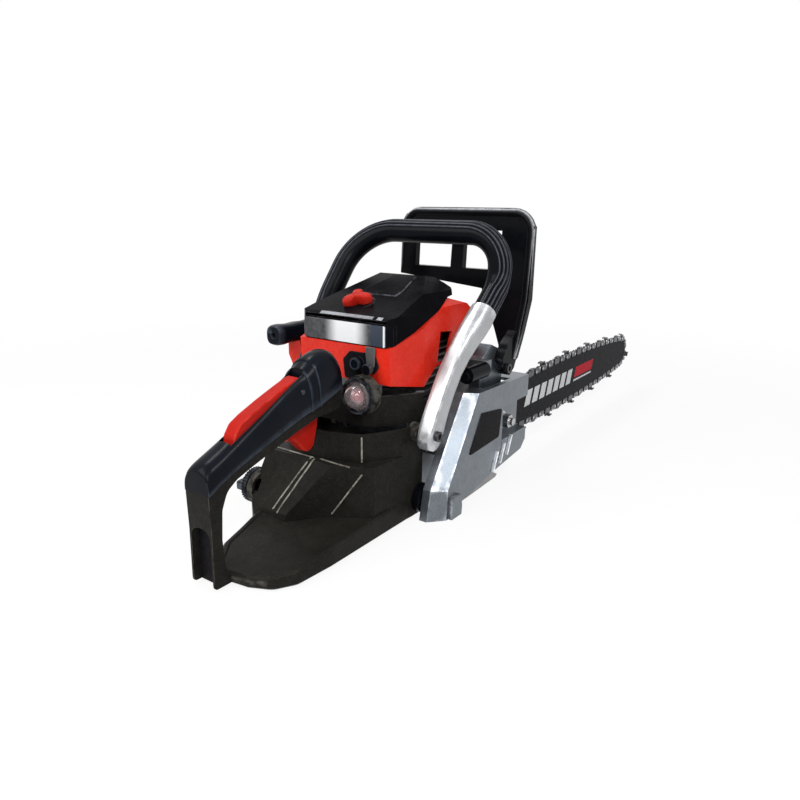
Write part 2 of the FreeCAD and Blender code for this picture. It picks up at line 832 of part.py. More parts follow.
def crankcase_right():
    pad_half_height = 15.0
    pad_low_x = 34.0
    pad_high_x = 84.0
    body = prism(case_side(), "y", case_right_y, 0)
    pad_y = bar_y + bar_thickness / 2 + seat_gap
    pad = box(pad_low_x, pad_high_x, pad_y, case_right_y + overrun,
              crank_height - pad_half_height, crank_height + pad_half_height)
    rib_y = case_right_y - case_wall * 2
    rib_z = crank_height + pad_half_height / 2
    rib = box(arm_low_x, arm_high_x, rib_y, case_right_y + overrun, rib_z, shelf_high_z)
    shelf = box(arm_low_x, arm_high_x, arm_outer_y, case_right_y, shelf_low_z, shelf_high_z)
    shares = [(0, 0), (1, 0), (1, 0.55), (0.83, 0.86), (0.45, 1), (0.1, 0.8), (0, 0.4)]
    arm = prism(spread(shares, (arm_low_x, shelf_low_z), (arm_high_x, arm_top_z)), "y", arm_outer_y, arm_inner_y)
    buffer_lug = box(arm_low_x - case_wall, arm_low_x + 2 * case_wall, arm_outer_y - 2 * case_wall, arm_inner_y,
                     buffer_z - 2 * case_wall, buffer_z + 2 * case_wall)
    skids = [skid(skid_right_y, 0, case_low_z + case_wall), skid(-case_wall, skid_middle_y, case_low_z - rest_gap)]
    body = join([body, pad, rib, shelf, arm, buffer_lug] + skids)
    body = body.cut(crank_bores())
    body = body.cut(box(oil_tank_low[0], oil_tank_high[0], oil_tank_low[1], overrun, oil_tank_low[2],
                        oil_tank_high[2]))
    stud_hole = rod(stud_radius + seat_gap, (stud_x, pad_y - overrun, stud_z),
                    (stud_x, stud_end_y + rest_gap, stud_z))
    pivot = rod(pivot_screw_radius + seat_gap, (guard_pivot_x, arm_outer_y - overrun, guard_pivot_z),
                (guard_pivot_x, arm_inner_y + overrun, guard_pivot_z))
    return body.cut(stud_hole).cut(pivot)


def crankcase_left():
    volute_y = case_left_y - case_wall
    body = prism(case_side(), "y", 0, case_left_y)
    end_y = starter_inner_y - rest_gap
    volute = ring(volute_outer, volute_inner, on_crank(volute_y), on_crank(end_y))
    back = ring(volute_outer, volute_inner - case_wall, on_crank(volute_y), on_crank(case_left_y))
    mouth_half = 32.0
    mouth = box(-mouth_half, mouth_half, volute_y - overrun, end_y + overrun, case_top_z, 2 * crank_height)
    shell = join([volute, back]).cut(mouth)
    lugs = [lug(turn, volute_inner + case_wall / 2, volute_y, end_y) for turn in lug_turns]
    post_y = coil_y - seat_gap
    posts = [box(side * coil_leg_x - case_wall, side * coil_leg_x + case_wall, fin_half_width + rest_gap, post_y,
                 crank_height + bearing_radius, coil_low_z + case_wall) for side in (-1, 1)]
    neck = rod(oil_neck_radius + case_wall, (oil_cap_x, case_left_y - overrun, oil_cap_z),
               (oil_cap_x, oil_neck_y, oil_cap_z))
    rail = skid(skid_left_y, case_left_y, case_low_z + case_wall)
    body = join([body, shell, neck, rail] + lugs + posts)
    body = body.cut(crank_bores())
    body = body.cut(box(oil_tank_low[0], oil_tank_high[0], -overrun, oil_tank_high[1], oil_tank_low[2],
                        oil_tank_high[2]))
    for turn in lug_turns:
        hole = rod(lug_screw_radius + seat_gap, lug_spot(turn, volute_y), lug_spot(turn, end_y + overrun))
        body = body.cut(hole)
    bore = rod(oil_neck_radius, (oil_cap_x, oil_tank_high[1] - overrun, oil_cap_z),
               (oil_cap_x, oil_neck_y + overrun, oil_cap_z))
    return body.cut(bore).cut(rod(flywheel_radius + rest_gap, on_crank(case_left_y), on_crank(end_y)))


oil_neck_rise = 4.0
oil_neck_y = case_left_y + oil_neck_rise
coil_y = 45.6
coil_leg_x = 13.0
magnet_gap = 0.4
coil_low_z = crank_height + flywheel_radius + magnet_gap
coil_high_z = 138.0
buffer_y = -80.0
buffer_z = 130.0
buffer_start_x = -25.0


def cylinder():
    flange = 6.0
    flange_half = 29.0
    fin_thickness = 1.8
    fin_pitch = 6.4
    fin_count = 8
    port_bore = 8.0
    plug_bore = 7.0
    corner_radius = 47.0
    body = join([
        rod(barrel_radius, (0, 0, cylinder_base_z), (0, 0, cylinder_top_z)),
        box(-flange_half, flange_half, -flange_half, flange_half, cylinder_base_z, cylinder_base_z + flange),
        box(-port_reach, port_reach, -port_half_width, port_half_width, port_low_z, port_high_z),
    ])
    corners = rod(corner_radius, (0, 0, cylinder_base_z), (0, 0, cylinder_top_z))
    for number in range(fin_count):
        low = cylinder_base_z + 2 * flange + number * fin_pitch - fin_pitch / 2
        fin = box(-fin_half_length, fin_half_length, -fin_half_width, fin_half_width, low, low + fin_thickness)
        body = body.fuse(fin.common(corners))
    body = body.removeSplitter()
    squish = 1.5
    roof_z = wrist_pin_z + crown_height + stroke + squish
    body = body.cut(rod(bore_radius, (0, 0, cylinder_base_z - overrun), (0, 0, roof_z)))
    body = body.cut(rod(plug_bore + seat_gap, (0, 0, roof_z - overrun), (0, 0, cylinder_top_z + overrun)))
    middle = (port_low_z + port_high_z) / 2
    ports = rod(port_bore, (-port_reach - overrun, 0, middle), (port_reach + overrun, 0, middle))
    return body.cut(ports)


port_reach = 41.0


def spark_plug():
    thread = 7.0
    hex_radius = 9.0
    hex_height = 6.0
    thread_length = 8.0
    seat = cylinder_top_z + seat_gap
    reach = rod(thread, (0, 0, cylinder_top_z - thread_length), (0, 0, seat))
    corners = [(hex_radius * math.cos(math.radians(60 * n)), hex_radius * math.sin(math.radians(60 * n)))
               for n in range(6)]
    nut = prism(corners, "z", seat, seat + hex_height)
    post = rod(insulator_radius, (0, 0, seat + hex_height), (0, 0, insulator_top_z))
    return join([reach, nut, post])


insulator_radius = 4.8
insulator_top_z = 182.0
boot_low_z = 173.0
boot_top_z = 190.0
boot_radius = 8.0
lead_radius = 2.8


def ignition_lead():
    """The lead from the coil with the rubber boot that is moulded on it."""
    boot = rod(boot_radius, (0, 0, boot_low_z), (0, 0, boot_top_z))
    boot_bore = insulator_radius + rest_gap
    boot = boot.cut(rod(boot_bore, (0, 0, boot_low_z - overrun), (0, 0, insulator_top_z + rest_gap)))
    lead_y = (coil_y + flywheel_y + flywheel_width) / 2
    lead_z = boot_top_z - lead_radius - rest_gap
    bend = 18.0
    points = [(0, lead_y, coil_high_z + seat_gap), (0, lead_y, lead_z), (0, boot_radius / 2, lead_z)]
    return join([tube(points, bend, lead_radius), boot])


def ignition_coil():
    core_depth = 6.0
    core_half = coil_leg_x + case_wall
    core_high = coil_low_z + core_depth
    body_half = 12.0
    end_y = flywheel_y + flywheel_width
    yoke = box(-core_half, core_half, coil_y, end_y, coil_low_z, core_high)
    notch = box(-core_half / 3, core_half / 3, coil_y - overrun, end_y + overrun, coil_low_z - overrun,
                coil_low_z + overrun)
    case = box(-body_half, body_half, coil_y, end_y, core_high, coil_high_z)
    return join([yoke.cut(notch), case])


carb_front_x = -58.0
carb_rear_x = -88.0
carb_half_y = 17.0
carb_low_z = 112.0
carb_top_z = 146.0
carb_bore = 8.5


def intake_boot():
    outer = 13.5
    middle = (port_low_z + port_high_z) / 2
    return ring(outer, carb_bore, (carb_front_x + seat_gap, 0, middle), (-port_reach - seat_gap, 0, middle))


def carburettor():
    bowl = 8.0
    middle = (port_low_z + port_high_z) / 2
    body = box(carb_rear_x, carb_front_x, -carb_half_y, carb_half_y, carb_low_z + bowl, carb_top_z - bowl)
    waist = (carb_front_x - carb_rear_x) / 5
    low = box(carb_rear_x + waist, carb_front_x - waist, -carb_half_y + waist / 2, carb_half_y - waist / 2,
              carb_low_z, carb_top_z)
    throat = rod(carb_bore, (carb_rear_x - overrun, 0, middle), (carb_front_x + overrun, 0, middle))
    return join([body, low]).cut(throat)


def air_filter():
    base = 4.0
    half_y = 35.0
    front_x = -46.0
    rear_x = -90.0
    top_z = 184.0
    low = carb_top_z + seat_gap
    tray = box(rear_x, front_x, -half_y - base, half_y + base, low, low + base)
    element = box(rear_x + base, front_x - base, -half_y, half_y, low + base, top_z)
    slope_share = [(0, 0), (1, 0), (1, 1), (0, 0.55)]
    envelope = prism(spread(slope_share, (rear_x, low), (front_x, top_z)), "y", -2 * half_y, 2 * half_y)
    return join([tray, element]).common(envelope)


def muffler():
    wall = 1.5
    front_x = 79.0
    right_y = -31.0
    left_y = 31.0
    low_z = 96.0
    top_z = 158.0
    outlet = 6.0
    rear_x = port_reach + rest_gap
    shares = [(0, 0.08), (0.2, 0), (0.8, 0), (1, 0.15), (1, 0.8), (0.7, 1), (0.2, 1), (0, 0.9)]
    side = spread(shares, (rear_x, low_z), (front_x, top_z))
    body = prism(side, "y", right_y, left_y)
    inner = prism(shrink(side, wall), "y", right_y + wall, left_y - wall)
    middle = (port_low_z + port_high_z) / 2
    inlet = rod(outlet + wall, (rear_x - overrun, 0, middle), (rear_x + wall + overrun, 0, middle))
    pipe_z = low_z + (top_z - low_z) / 3
    pipe_spot = (front_x + 2 * wall, right_y / 2, pipe_z)
    pipe = rod(outlet + wall, (front_x - outlet, right_y / 2, pipe_z), pipe_spot)
    bore = rod(outlet, (front_x - 2 * outlet, right_y / 2, pipe_z), (front_x + outlet, right_y / 2, pipe_z))
    return join([body, pipe]).cut(inner).cut(inlet).cut(bore)


# Recoil starter
pulley_right_y = 74.0
pulley_left_y = 84.0
starter_chamfer = 6.0
starter_face_y = starter_outer_y - starter_chamfer
spring_left_y = starter_face_y - starter_wall
pulley_flange = 1.6
axle_radius = 6.0
turret_half = 8.0
rope_exit_back = 3.0
rope_exit_drop = 12.0
rope_exit = (grip_x, grip_y - rope_exit_back, grip_z - rope_exit_drop)
knee_y = 106.0
knee_z = 116.0
hub_lift = 1.8


def rope_start():
    return (-rope_turn_radius - rope_radius, (pulley_right_y + pulley_left_y) / 2, crank_height)


def starter_housing():
    tail_x = -116.0
    tail_y = 93.0
    face_y = starter_face_y
    body = rod(starter_radius, on_crank(starter_inner_y), on_crank(face_y))
    cap = cone(starter_radius, starter_radius - starter_chamfer, on_crank(face_y), on_crank(starter_outer_y))
    shares = [(0, 0.42), (0.02, 0.3), (0.4, 0), (1, 0), (1, 0.75), (0.62, 1), (0.45, 0.9), (0.35, 0.68)]
    tail_low = crank_height - starter_radius * 0.85
    tail_high = crank_height + starter_radius / 4
    tail_outline = spread(shares, (tail_x, tail_low), (0, tail_high))
    tail = prism(tail_outline, "y", starter_inner_y, tail_y)
    inside_y = face_y - starter_wall
    hollow = rod(starter_radius - starter_wall, on_crank(starter_inner_y - overrun), on_crank(inside_y))
    tail_hollow = prism(shrink(tail_outline, starter_wall), "y", starter_inner_y - overrun, tail_y - starter_wall)
    foot_z = crank_height + starter_radius * 0.6
    turret_points = [(starter_inner_y + 3 * starter_wall, foot_z), (starter_outer_y - starter_wall, foot_z),
                     (knee_y + turret_half, knee_z - turret_half),
                     (rope_exit[1] + turret_half, rope_exit[2] - 2 * turret_half),
                     (rope_exit[1] + turret_half, rope_exit[2]), (rope_exit[1] - turret_half, rope_exit[2]),
                     (knee_y - turret_half, knee_z - starter_wall),
                     (starter_inner_y + 3 * starter_wall, foot_z + turret_half)]
    turret = prism(turret_points, "x", grip_x - turret_half, grip_x + turret_half)
    lugs = [lug(turn, starter_radius - starter_wall / 2, starter_inner_y, lug_face_y) for turn in lug_turns]
    shell = join([body, cap, tail, turret] + lugs).cut(hollow).cut(tail_hollow)
    axle = rod(axle_radius, on_crank(pulley_right_y), on_crank(starter_outer_y - starter_wall))
    shell = join([shell, axle])
    slot_count = 18
    slot_half = 2.2
    slot_inner = 30.0
    slot_outer = 50.0
    for number in range(slot_count):
        slot = box(slot_inner, slot_outer, face_y - starter_chamfer, starter_outer_y + overrun,
                   -slot_half, slot_half)
        slot.rotate(Vec(0, 0, 0), Vec(0, 1, 0), 360 * number / slot_count)
        slot.translate(Vec(0, 0, crank_height))
        shell = shell.cut(slot)
    for turn in lug_turns:
        hole = rod(lug_screw_radius + seat_gap, lug_spot(turn, starter_inner_y - overrun),
                   lug_spot(turn, lug_face_y + overrun))
        shell = shell.cut(hole)
    channel = rope_radius + 2 * rest_gap
    points = rope_points()
    for start, end in zip(points[1:], points[2:]):
        shell = shell.cut(rod(channel, start, end))
    return shell.cut(Part.makeSphere(channel, at(points[2])))


lug_face_y = 72.0


def rope_points():
    """From the pulley up to the level of its top, out to the knee of the snout and on into the grip."""
    start = rope_start()
    tip = at(rope_exit) + Vec(0, 0, hub_lift - seat_gap)
    return [start, (start[0], start[1], crank_height + starter_radius * 0.45), (grip_x, knee_y, knee_z),
            (tip.x, tip.y, tip.z)]


def starter_pulley():
    outer = rope_turn_radius + 3 * rope_radius
    body = rod(outer, on_crank(pulley_right_y), on_crank(pulley_left_y))
    groove = ring(outer + overrun, rope_turn_radius - rope_radius, on_crank(pulley_right_y + pulley_flange),
                  on_crank(pulley_left_y - pulley_flange))
    bore = rod(axle_radius + run_gap, on_crank(pulley_right_y - overrun), on_crank(pulley_left_y + overrun))
    return body.cut(groove).cut(bore)


def recoil_spring():
    outer = rope_turn_radius
    start = on_crank(pulley_left_y + rest_gap)
    return ring(outer, axle_radius + 2 * rest_gap, start, on_crank(spring_left_y - rest_gap))


def starter_rope():
    wound = ring(rope_turn_radius + rope_radius, rope_turn_radius - rope_radius + seat_gap,
                 on_crank(pulley_right_y + pulley_flange + seat_gap),
                 on_crank(pulley_left_y - pulley_flange - seat_gap))
    bend = 7.0
    return join([wound, tube(rope_points(), bend, rope_radius)])


def starter_grip():
    half_length = 42.0
    half_mid = 9.5
    half_end = 7.0
    pocket = 12.0
    pocket_half = 4.5
    middle_z = grip_z + rest_gap
    mid_square = [(grip_y - half_mid, middle_z - half_end), (grip_y + half_mid, middle_z - half_end),
                  (grip_y + half_mid, middle_z + half_end), (grip_y - half_mid, middle_z + half_end)]
    end_square = [(grip_y - half_end, middle_z - half_end * 0.8), (grip_y + half_end, middle_z - half_end * 0.8),
                  (grip_y + half_end, middle_z + half_end * 0.7), (grip_y - half_end, middle_z + half_end * 0.7)]
    pieces = []
    for side in (-1, 1):
        pieces.append(tapered(mid_square, grip_x, end_square, grip_x + side * half_length, "x"))
    hub_low = (grip_x, rope_exit[1], rope_exit[2] + hub_lift)
    pieces.append(cone(half_end * 0.8, half_mid * 0.95, hub_low, (grip_x, grip_y, middle_z)))
    body = join(pieces)
    for side in (-1, 1):
        end_x = grip_x + side * half_length
        hollow = box(min(end_x, end_x - side * pocket), max(end_x, end_x - side * pocket),
                     grip_y - pocket_half, grip_y + pocket_half,
                     middle_z - pocket_half, middle_z + pocket_half * 0.8)
        body = body.cut(hollow)
    return body


# Clutch cover and bar fixings
recess_low_x = 44.0
recess_low_z = 50.0
recess_high_z = 86.0
recess_floor_y = -77.0
clamp_radius = 8.5


def cover_outlines():
    low = (cover_rear_x, 0)
    high = (cover_front_x, cover_top_z)
    face_shares = [(0.08, 0), (0.09, 0.26), (0.383, 1), (1, 0.98), (1, 0.32), (0.945, 0.24), (0.55, 0.17),
                   (0.222, 0.08), (0.205, 0)]
    back_shares = [(0, 0), (0.033, 0.26), (0.34, 1), (1, 0.98), (1, 0.32), (0.945, 0.24), (0.55, 0.17),
                   (0.222, 0.08), (0.205, 0)]
    room_shares = [(0.136, 0.36), (0.372, 0.955), (0.985, 0.955), (0.985, 0.34), (0.935, 0.268), (0.545, 0.198),
                   (0.25, 0.125), (0.19, 0.23)]
    return spread(face_shares, low, high), spread(back_shares, low, high), spread(room_shares, low, high)


def clutch_cover():
    bevel_depth = 13.0
    foot_back_y = -68.0
    foot_x = -36.0
    bevel_y = cover_face_y + bevel_depth
    face, back, room = cover_outlines()
    outer = join([tapered(face, cover_face_y, back, bevel_y, "y"), prism(back, "y", bevel_y, cover_inner_y)])
    outer = outer.cut(box(cover_rear_x - overrun, foot_x, foot_back_y, cover_inner_y + overrun, -overrun,
                          cover_top_z + overrun))
    foot_shares = [(0.1, 0), (0.105, 0.19), (0.19, 0.19), (0.205, 0.08), (0.2, 0)]
    foot = prism(spread(foot_shares, (cover_rear_x, 0), (cover_front_x, cover_top_z)), "y", cover_foot_y,
                 bevel_y)
    body = join([outer, foot])
    cavity = prism(room, "y", cover_face_y + cover_wall, cover_inner_y + overrun)
    body = body.cut(cavity)
    pocket_block = box(recess_low_x - cover_wall, cover_front_x, cover_face_y, recess_floor_y + cover_wall,
                       recess_low_z - cover_wall, recess_high_z + cover_wall)
    pocket = box(recess_low_x, cover_front_x + overrun, cover_face_y - overrun, recess_floor_y, recess_low_z,
                 recess_high_z)
    clamp = rod(clamp_radius, (stud_x, recess_floor_y + cover_wall / 2, stud_z),
                (stud_x, bar_y - bar_thickness / 2 - seat_gap, stud_z))
    body = join([body, pocket_block, clamp]).cut(pocket)
    exit_depth = 14.0
    exit_low_z = 28.0
    body = body.cut(box(cover_front_x - exit_depth, cover_front_x + overrun, recess_floor_y + cover_wall,
                        cover_inner_y + overrun, exit_low_z, cover_top_z - 2 * cover_wall))
    casting = box(arm_low_x - 2 * case_wall, arm_high_x + case_wall, arm_outer_y - 2 * case_wall - 2 * rest_gap,
                  cover_inner_y + overrun, shelf_low_z - case_wall, cover_top_z + overrun)
    body = body.cut(casting)
    rib_low = (22.0, 21.0)
    rib_step = (15.0, 5.0)
    rib_lean = 9.0
    rib_rise = 20.0
    rib_width = 2.2
    rib_height = 0.8
    for number in range(3):
        x = rib_low[0] + number * rib_step[0]
        z = rib_low[1] + number * rib_step[1]
        top_z = z + rib_rise
        corners = [(x, z), (x + rib_width, z), (x + rib_width + rib_lean, top_z), (x + rib_lean, top_z)]
        body = body.fuse(prism(corners, "y", cover_face_y - rib_height, cover_face_y + cover_wall / 2))
    body = body.removeSplitter()
    stud_hole = rod(stud_radius + seat_gap, (stud_x, cover_face_y, stud_z), (stud_x, cover_inner_y, stud_z))
    view_radius = 3.2
    view_z = (recess_low_z + stud_z) / 2 + view_radius / 2
    view = rod(view_radius, (stud_x - 3 * view_radius, cover_face_y, view_z),
               (stud_x - 3 * view_radius, recess_floor_y + cover_wall + seat_gap, view_z))
    return body.cut(stud_hole).cut(view)


def bar_stud():
    return rod(stud_radius, (stud_x, nut_end_y - stud_radius, stud_z), (stud_x, stud_end_y, stud_z))


nut_flange = 2.6
nut_height = 12.0
nut_end_y = recess_floor_y - nut_height


def bar_nut():
    across = 7.5
    start = recess_floor_y - seat_gap
    flange = rod(across * 1.3, (stud_x, start - nut_flange, stud_z), (stud_x, start, stud_z))
    corners = [(stud_x + across * math.cos(math.radians(60 * n)), stud_z + across * math.sin(math.radians(60 * n)))
               for n in range(6)]
    nut = prism(corners, "y", nut_end_y, start - nut_flange / 2)
    return join([flange, nut]).cut(rod(stud_radius + seat_gap, (stud_x, nut_end_y - overrun, stud_z),
                                       (stud_x, start + overrun, stud_z)))


def bar_tensioner():
    screw_radius = 2.2
    block_half = 4.0
    axis_y = (recess_floor_y + cover_wall + bar_y - bar_thickness / 2) / 2
    front = cover_front_x - 3 * cover_wall
    block_low = tension_x - block_half / 2
    block = box(block_low, tension_x + block_half, recess_floor_y + cover_wall + rest_gap,
                bar_y - bar_thickness / 2 - rest_gap, tension_z - block_half, tension_z + block_half)
    pin = rod(tension_pin_radius, (tension_x, bar_y - bar_thickness, tension_z),
              (tension_x, bar_y + bar_thickness / 2 - rest_gap, tension_z))
    thread = rod(screw_radius, (tension_x + block_half / 2, axis_y, tension_z), (front, axis_y, tension_z))
    head = rod(screw_radius * 1.3, (front - 2 * screw_radius, axis_y, tension_z), (front, axis_y, tension_z))
    return join([block, pin, thread, head])


def brake_band():
    band_inner = drum_radius + 2 * rest_gap
    band_thickness = 1.0
    band_width = 9.0
    band_outer = band_inner + band_thickness
    start_y = drum_rim_y + band_thickness
    end_y = start_y + band_width
    gap_half = 5.0
    band = ring(band_outer, band_inner, on_crank(start_y), on_crank(end_y))
    gap = box(0, band_outer + overrun, start_y - overrun, end_y + overrun, crank_height - gap_half,
              crank_height + gap_half)
    tab_half = 4.0
    foot_z = crank_height - band_outer - 2 * tab_half
    tab = box(-tab_half, tab_half, start_y, end_y, foot_z, crank_height - band_inner - seat_gap)
    return join([band.cut(gap), tab])


catcher_rear_x = -34.0
catcher_tip_x = 57.0
catcher_low_z = 0.5
catcher_high_z = 19.0


def chain_catcher():
    start_y = -80.0
    end_y = -66.0
    low = (catcher_rear_x, catcher_low_z)
    high = (catcher_tip_x, catcher_high_z)
    shares = [(0, 0), (0.4, 0.05), (0.95, 0.15), (1, 0.3), (0.72, 0.95), (0.6, 0.98), (0.02, 0.5)]
    return prism(spread(shares, low, high), "y", start_y, end_y)


# Tank, foot plate, rear handle and its controls
shelf_z = 92.0
shoulder_length = 80.0


def tank_body():
    side_shares = [(0, 0), (0.03, 0.3), (0.27, 1), (1, 1), (1, 0)]
    plan_shares = [(0, 0.9), (0.02, 0.6), (0.25, 0.36), (0.42, 0.035), (0.85, 0), (1, 0), (1, 1), (0.18, 1),
                   (0.04, 0.97)]
    low_z = 2.0
    side = spread(side_shares, (tank_rear_x, low_z), (tank_front_x, tank_top_z))
    plan = spread(plan_shares, (tank_rear_x, -plate_half_y), (tank_front_x, tank_half_y))
    return side, plan


def shoulder_plans():
    low_shares = [(0, 0.7), (0.03, 0.45), (0.18, 0.17), (0.47, 0.06), (0.66, 0), (1, 0), (1, 1), (0.28, 1)]
    high_shares = [(0.42, 0.7), (0.42, 0.3), (0.52, 0.2), (0.74, 0.1), (0.97, 0), (1, 0), (1, 1), (0.46, 1)]
    low = (tank_front_x - shoulder_length, -plate_half_y)
    high = (tank_front_x, tank_half_y)
    return spread(low_shares, low, high), spread(high_shares, low, high)


bulb_boss_radius = 18.0
bulb_boss_front_x = -104.0
arm_boss = (-76.0, 86.0)
arm_boss_radius = 9.0
arm_back_y = -68.0
arm_front_y = -84.0
buffer_neck_radius = 5.5
neck_rise = 5.0


def tank_shapes():
    side, plan = tank_body()
    block = prism(side, "y", -plate_half_y - overrun, tank_half_y + overrun)
    block = block.common(prism(plan, "z", -overrun, tank_top_z + overrun))
    lower, upper = shoulder_plans()
    shoulder = prism(lower, "z", tank_top_z - tank_wall, shelf_z)
    wall = prism(upper, "z", shelf_z - tank_wall, shoulder_top_z)
    boss = rod(bulb_boss_radius, (bulb_x, bulb_y, bulb_z), (bulb_boss_front_x, bulb_y, bulb_z))
    return block, shoulder, wall, boss


def tank_housing():
    block, shoulder, wall, boss = tank_shapes()
    arm_spot = rod(arm_boss_radius, (arm_boss[0], arm_back_y + seat_gap, arm_boss[1]),
                   (arm_boss[0], -plate_half_y + overrun, arm_boss[1]))
    neck = rod(cap_neck_radius + tank_wall, (fuel_cap_x, tank_half_y - overrun, fuel_cap_z),
               (fuel_cap_x, fuel_neck_y, fuel_cap_z))
    socket = rod(handle_radius + socket_wall, on_first_run(-foot_socket_depth), on_first_run(-rest_gap))
    body = join([block, shoulder, wall, boss, arm_spot, neck, socket])
    lower, upper = shoulder_plans()
    open_front = [(x + (tank_wall + overrun if x > tank_front_x - tank_wall * 2 else 0), y) for x, y in
                  shrink(lower, tank_wall)]
    open_high = [(x + (tank_wall + overrun if x > tank_front_x - tank_wall * 2 else 0), y) for x, y in
                 shrink(upper, tank_wall)]
    body = body.cut(prism(open_front, "z", tank_top_z + tank_wall, shelf_z))
    body = body.cut(prism(open_high, "z", tank_top_z + tank_wall, 2 * shoulder_top_z).common(
        prism(open_front, "z", tank_top_z + tank_wall, 2 * shoulder_top_z)))
    side, plan = tank_body()
    cavity = prism(shrink(side, tank_wall), "y", -plate_half_y, tank_half_y)
    cavity = cavity.common(prism(shrink(plan, tank_wall), "z", 0, tank_top_z))
    body = body.cut(cavity)
    bore = rod(cap_neck_radius, (fuel_cap_x, tank_half_y - 2 * tank_wall, fuel_cap_z),
               (fuel_cap_x, fuel_neck_y + overrun, fuel_cap_z))
    screw_hole = rod(lug_screw_radius + seat_gap, (arm_boss[0], arm_back_y - overrun, arm_boss[1]),
                     (arm_boss[0], -plate_half_y + 2 * tank_wall, arm_boss[1]))
    tube_room = rod(handle_radius + rest_gap, on_first_run(-rest_gap), on_first_run(2 * socket_depth))
    body = body.cut(bore).cut(screw_hole).cut(tube_room)
    return body.removeSplitter()


fuel_neck_y = tank_half_y + neck_rise
buffer_cap_x = -66.0
buffer_cap_z = 18.0
buffer_cap_radius = 14.0


def plate_shape():
    plan_shares = [(0, 0.38), (0.05, 0.1), (0.16, 0.01), (0.34, 0), (0.9, 0), (1, 0.05), (1, 0.9), (0.6, 0.9),
                   (0.36, 0.68), (0.05, 0.54), (0, 0.5)]
    side_shares = [(0, 0), (1, 0), (1, 1), (0.6, 0.9), (0, 0.42)]
    low = (plate_rear_x, -plate_half_y)
    high = (tank_front_x - tank_wall, tank_half_y)
    plan = spread(plan_shares, low, high)
    side = spread(side_shares, (plate_rear_x, plate_low_z), (tank_front_x - tank_wall, plate_height))
    plate = prism(plan, "z", 0, 2 * plate_height)
    return plate.common(prism(side, "y", 2 * low[1], 2 * high[1]))


plate_low_z = 0.0
split_shares = [(0, 0), (0.22, 0.17), (0.77, 0.8), (1, 1)]
split_low_z = 87.0
split_front_x = -124.0
split_high_z = 131.0
split_low = (post_rear_x, split_low_z)
split_high = (split_front_x, split_high_z)


def rail_shape():
    top = spread(split_shares, split_low, split_high)
    under_shares = [(1, 0.55), (0.8, 0.52), (0.45, 0.2), (0.26, 0.02), (0.16, -0.02), (0.09, -0.2), (0, -0.2)]
    under = spread(under_shares, split_low, split_high)
    return prism(top + under, "y", -post_half_width, post_half_width)


def post_shape():
    shares = [(0, 0), (0.02, 0.55), (0, 0.98), (0.6, 1), (0.98, 0.99), (0.84, 0.87), (0.74, 0.7), (0.68, 0.4),
              (0.78, 0.12), (1, 0.06), (1, 0)]
    low = (post_rear_x, plate_low_z + post_lift)
    high = (post_rear_x + post_depth, split_low[1])
    return prism(spread(shares, low, high), "y", -post_half_width, post_half_width)


post_lift = 1.5
post_depth = 20.0


def rear_handle():
    post = post_shape()
    recess_wall = 4.0
    recess_half = post_half_width - recess_wall
    recess_high = 48.0
    recess_depth = 7.0
    recess = box(post_rear_x - overrun, post_rear_x + recess_depth, -recess_half, recess_half,
                 post_lift + recess_depth, recess_high)
    slot = box(trigger_slot_low_x, trigger_slot_high_x, -trigger_half - rest_gap, trigger_half + rest_gap, 0,
               2 * split_high[1])
    rail = rail_shape().cut(slot)
    body = join([plate_shape(), post, rail]).cut(recess)
    block, shoulder, wall, boss = tank_shapes()
    for piece in (block, shoulder, wall, boss):
        body = body.cut(piece)
    pin_hole = rod(pin_radius + seat_gap, (trigger_pin[0], -post_half_width - overrun, trigger_pin[1]),
                   (trigger_pin[0], post_half_width + overrun, trigger_pin[1]))
    body = body.cut(pin_hole)
    pieces = sorted(body.Solids, key=lambda piece: piece.Volume)
    return pieces[-1]


trigger_rear_x = -184.0
trigger_front_x = -143.0
trigger_low_z = 77.5
trigger_high_z = 121.0
trigger_low = (trigger_rear_x, trigger_low_z)
trigger_high = (trigger_front_x, trigger_high_z)
lock_back_step = 29.0
lock_front_x = -165.0
lock_low_z = 105.5
lock_high_z = 149.5
lock_low = (post_rear_x + lock_back_step, lock_low_z)
lock_high = (lock_front_x, lock_high_z)
trigger_half = 5.5
trigger_slot_low_x = -208.0
trigger_slot_high_x = -138.0
trigger_pin = (-150.0, 113.0)
lock_pin = (-172.0, 136.0)
lock_half = 5.5
pin_radius = 2.0
lock_pin_reach = 14.0


grip_lap = 6.0


def grip_side():
    top_shares = [(1, 0.38), (0.99, 0.85), (0.93, 1), (0.82, 0.9), (0.76, 0.75), (0.7, 0.64), (0.2, -0.33),
                  (0.1, -0.52), (0.03, -0.64), (0.005, -0.73)]
    line = spread(split_shares, split_low, split_high)
    low = (split_low[0], split_high[1] - grip_lap)
    high = (split_high[0], grip_top_z)
    line = [(x, z + seat_gap) for x, z in line]
    return line + spread(top_shares, low, high)[1:]


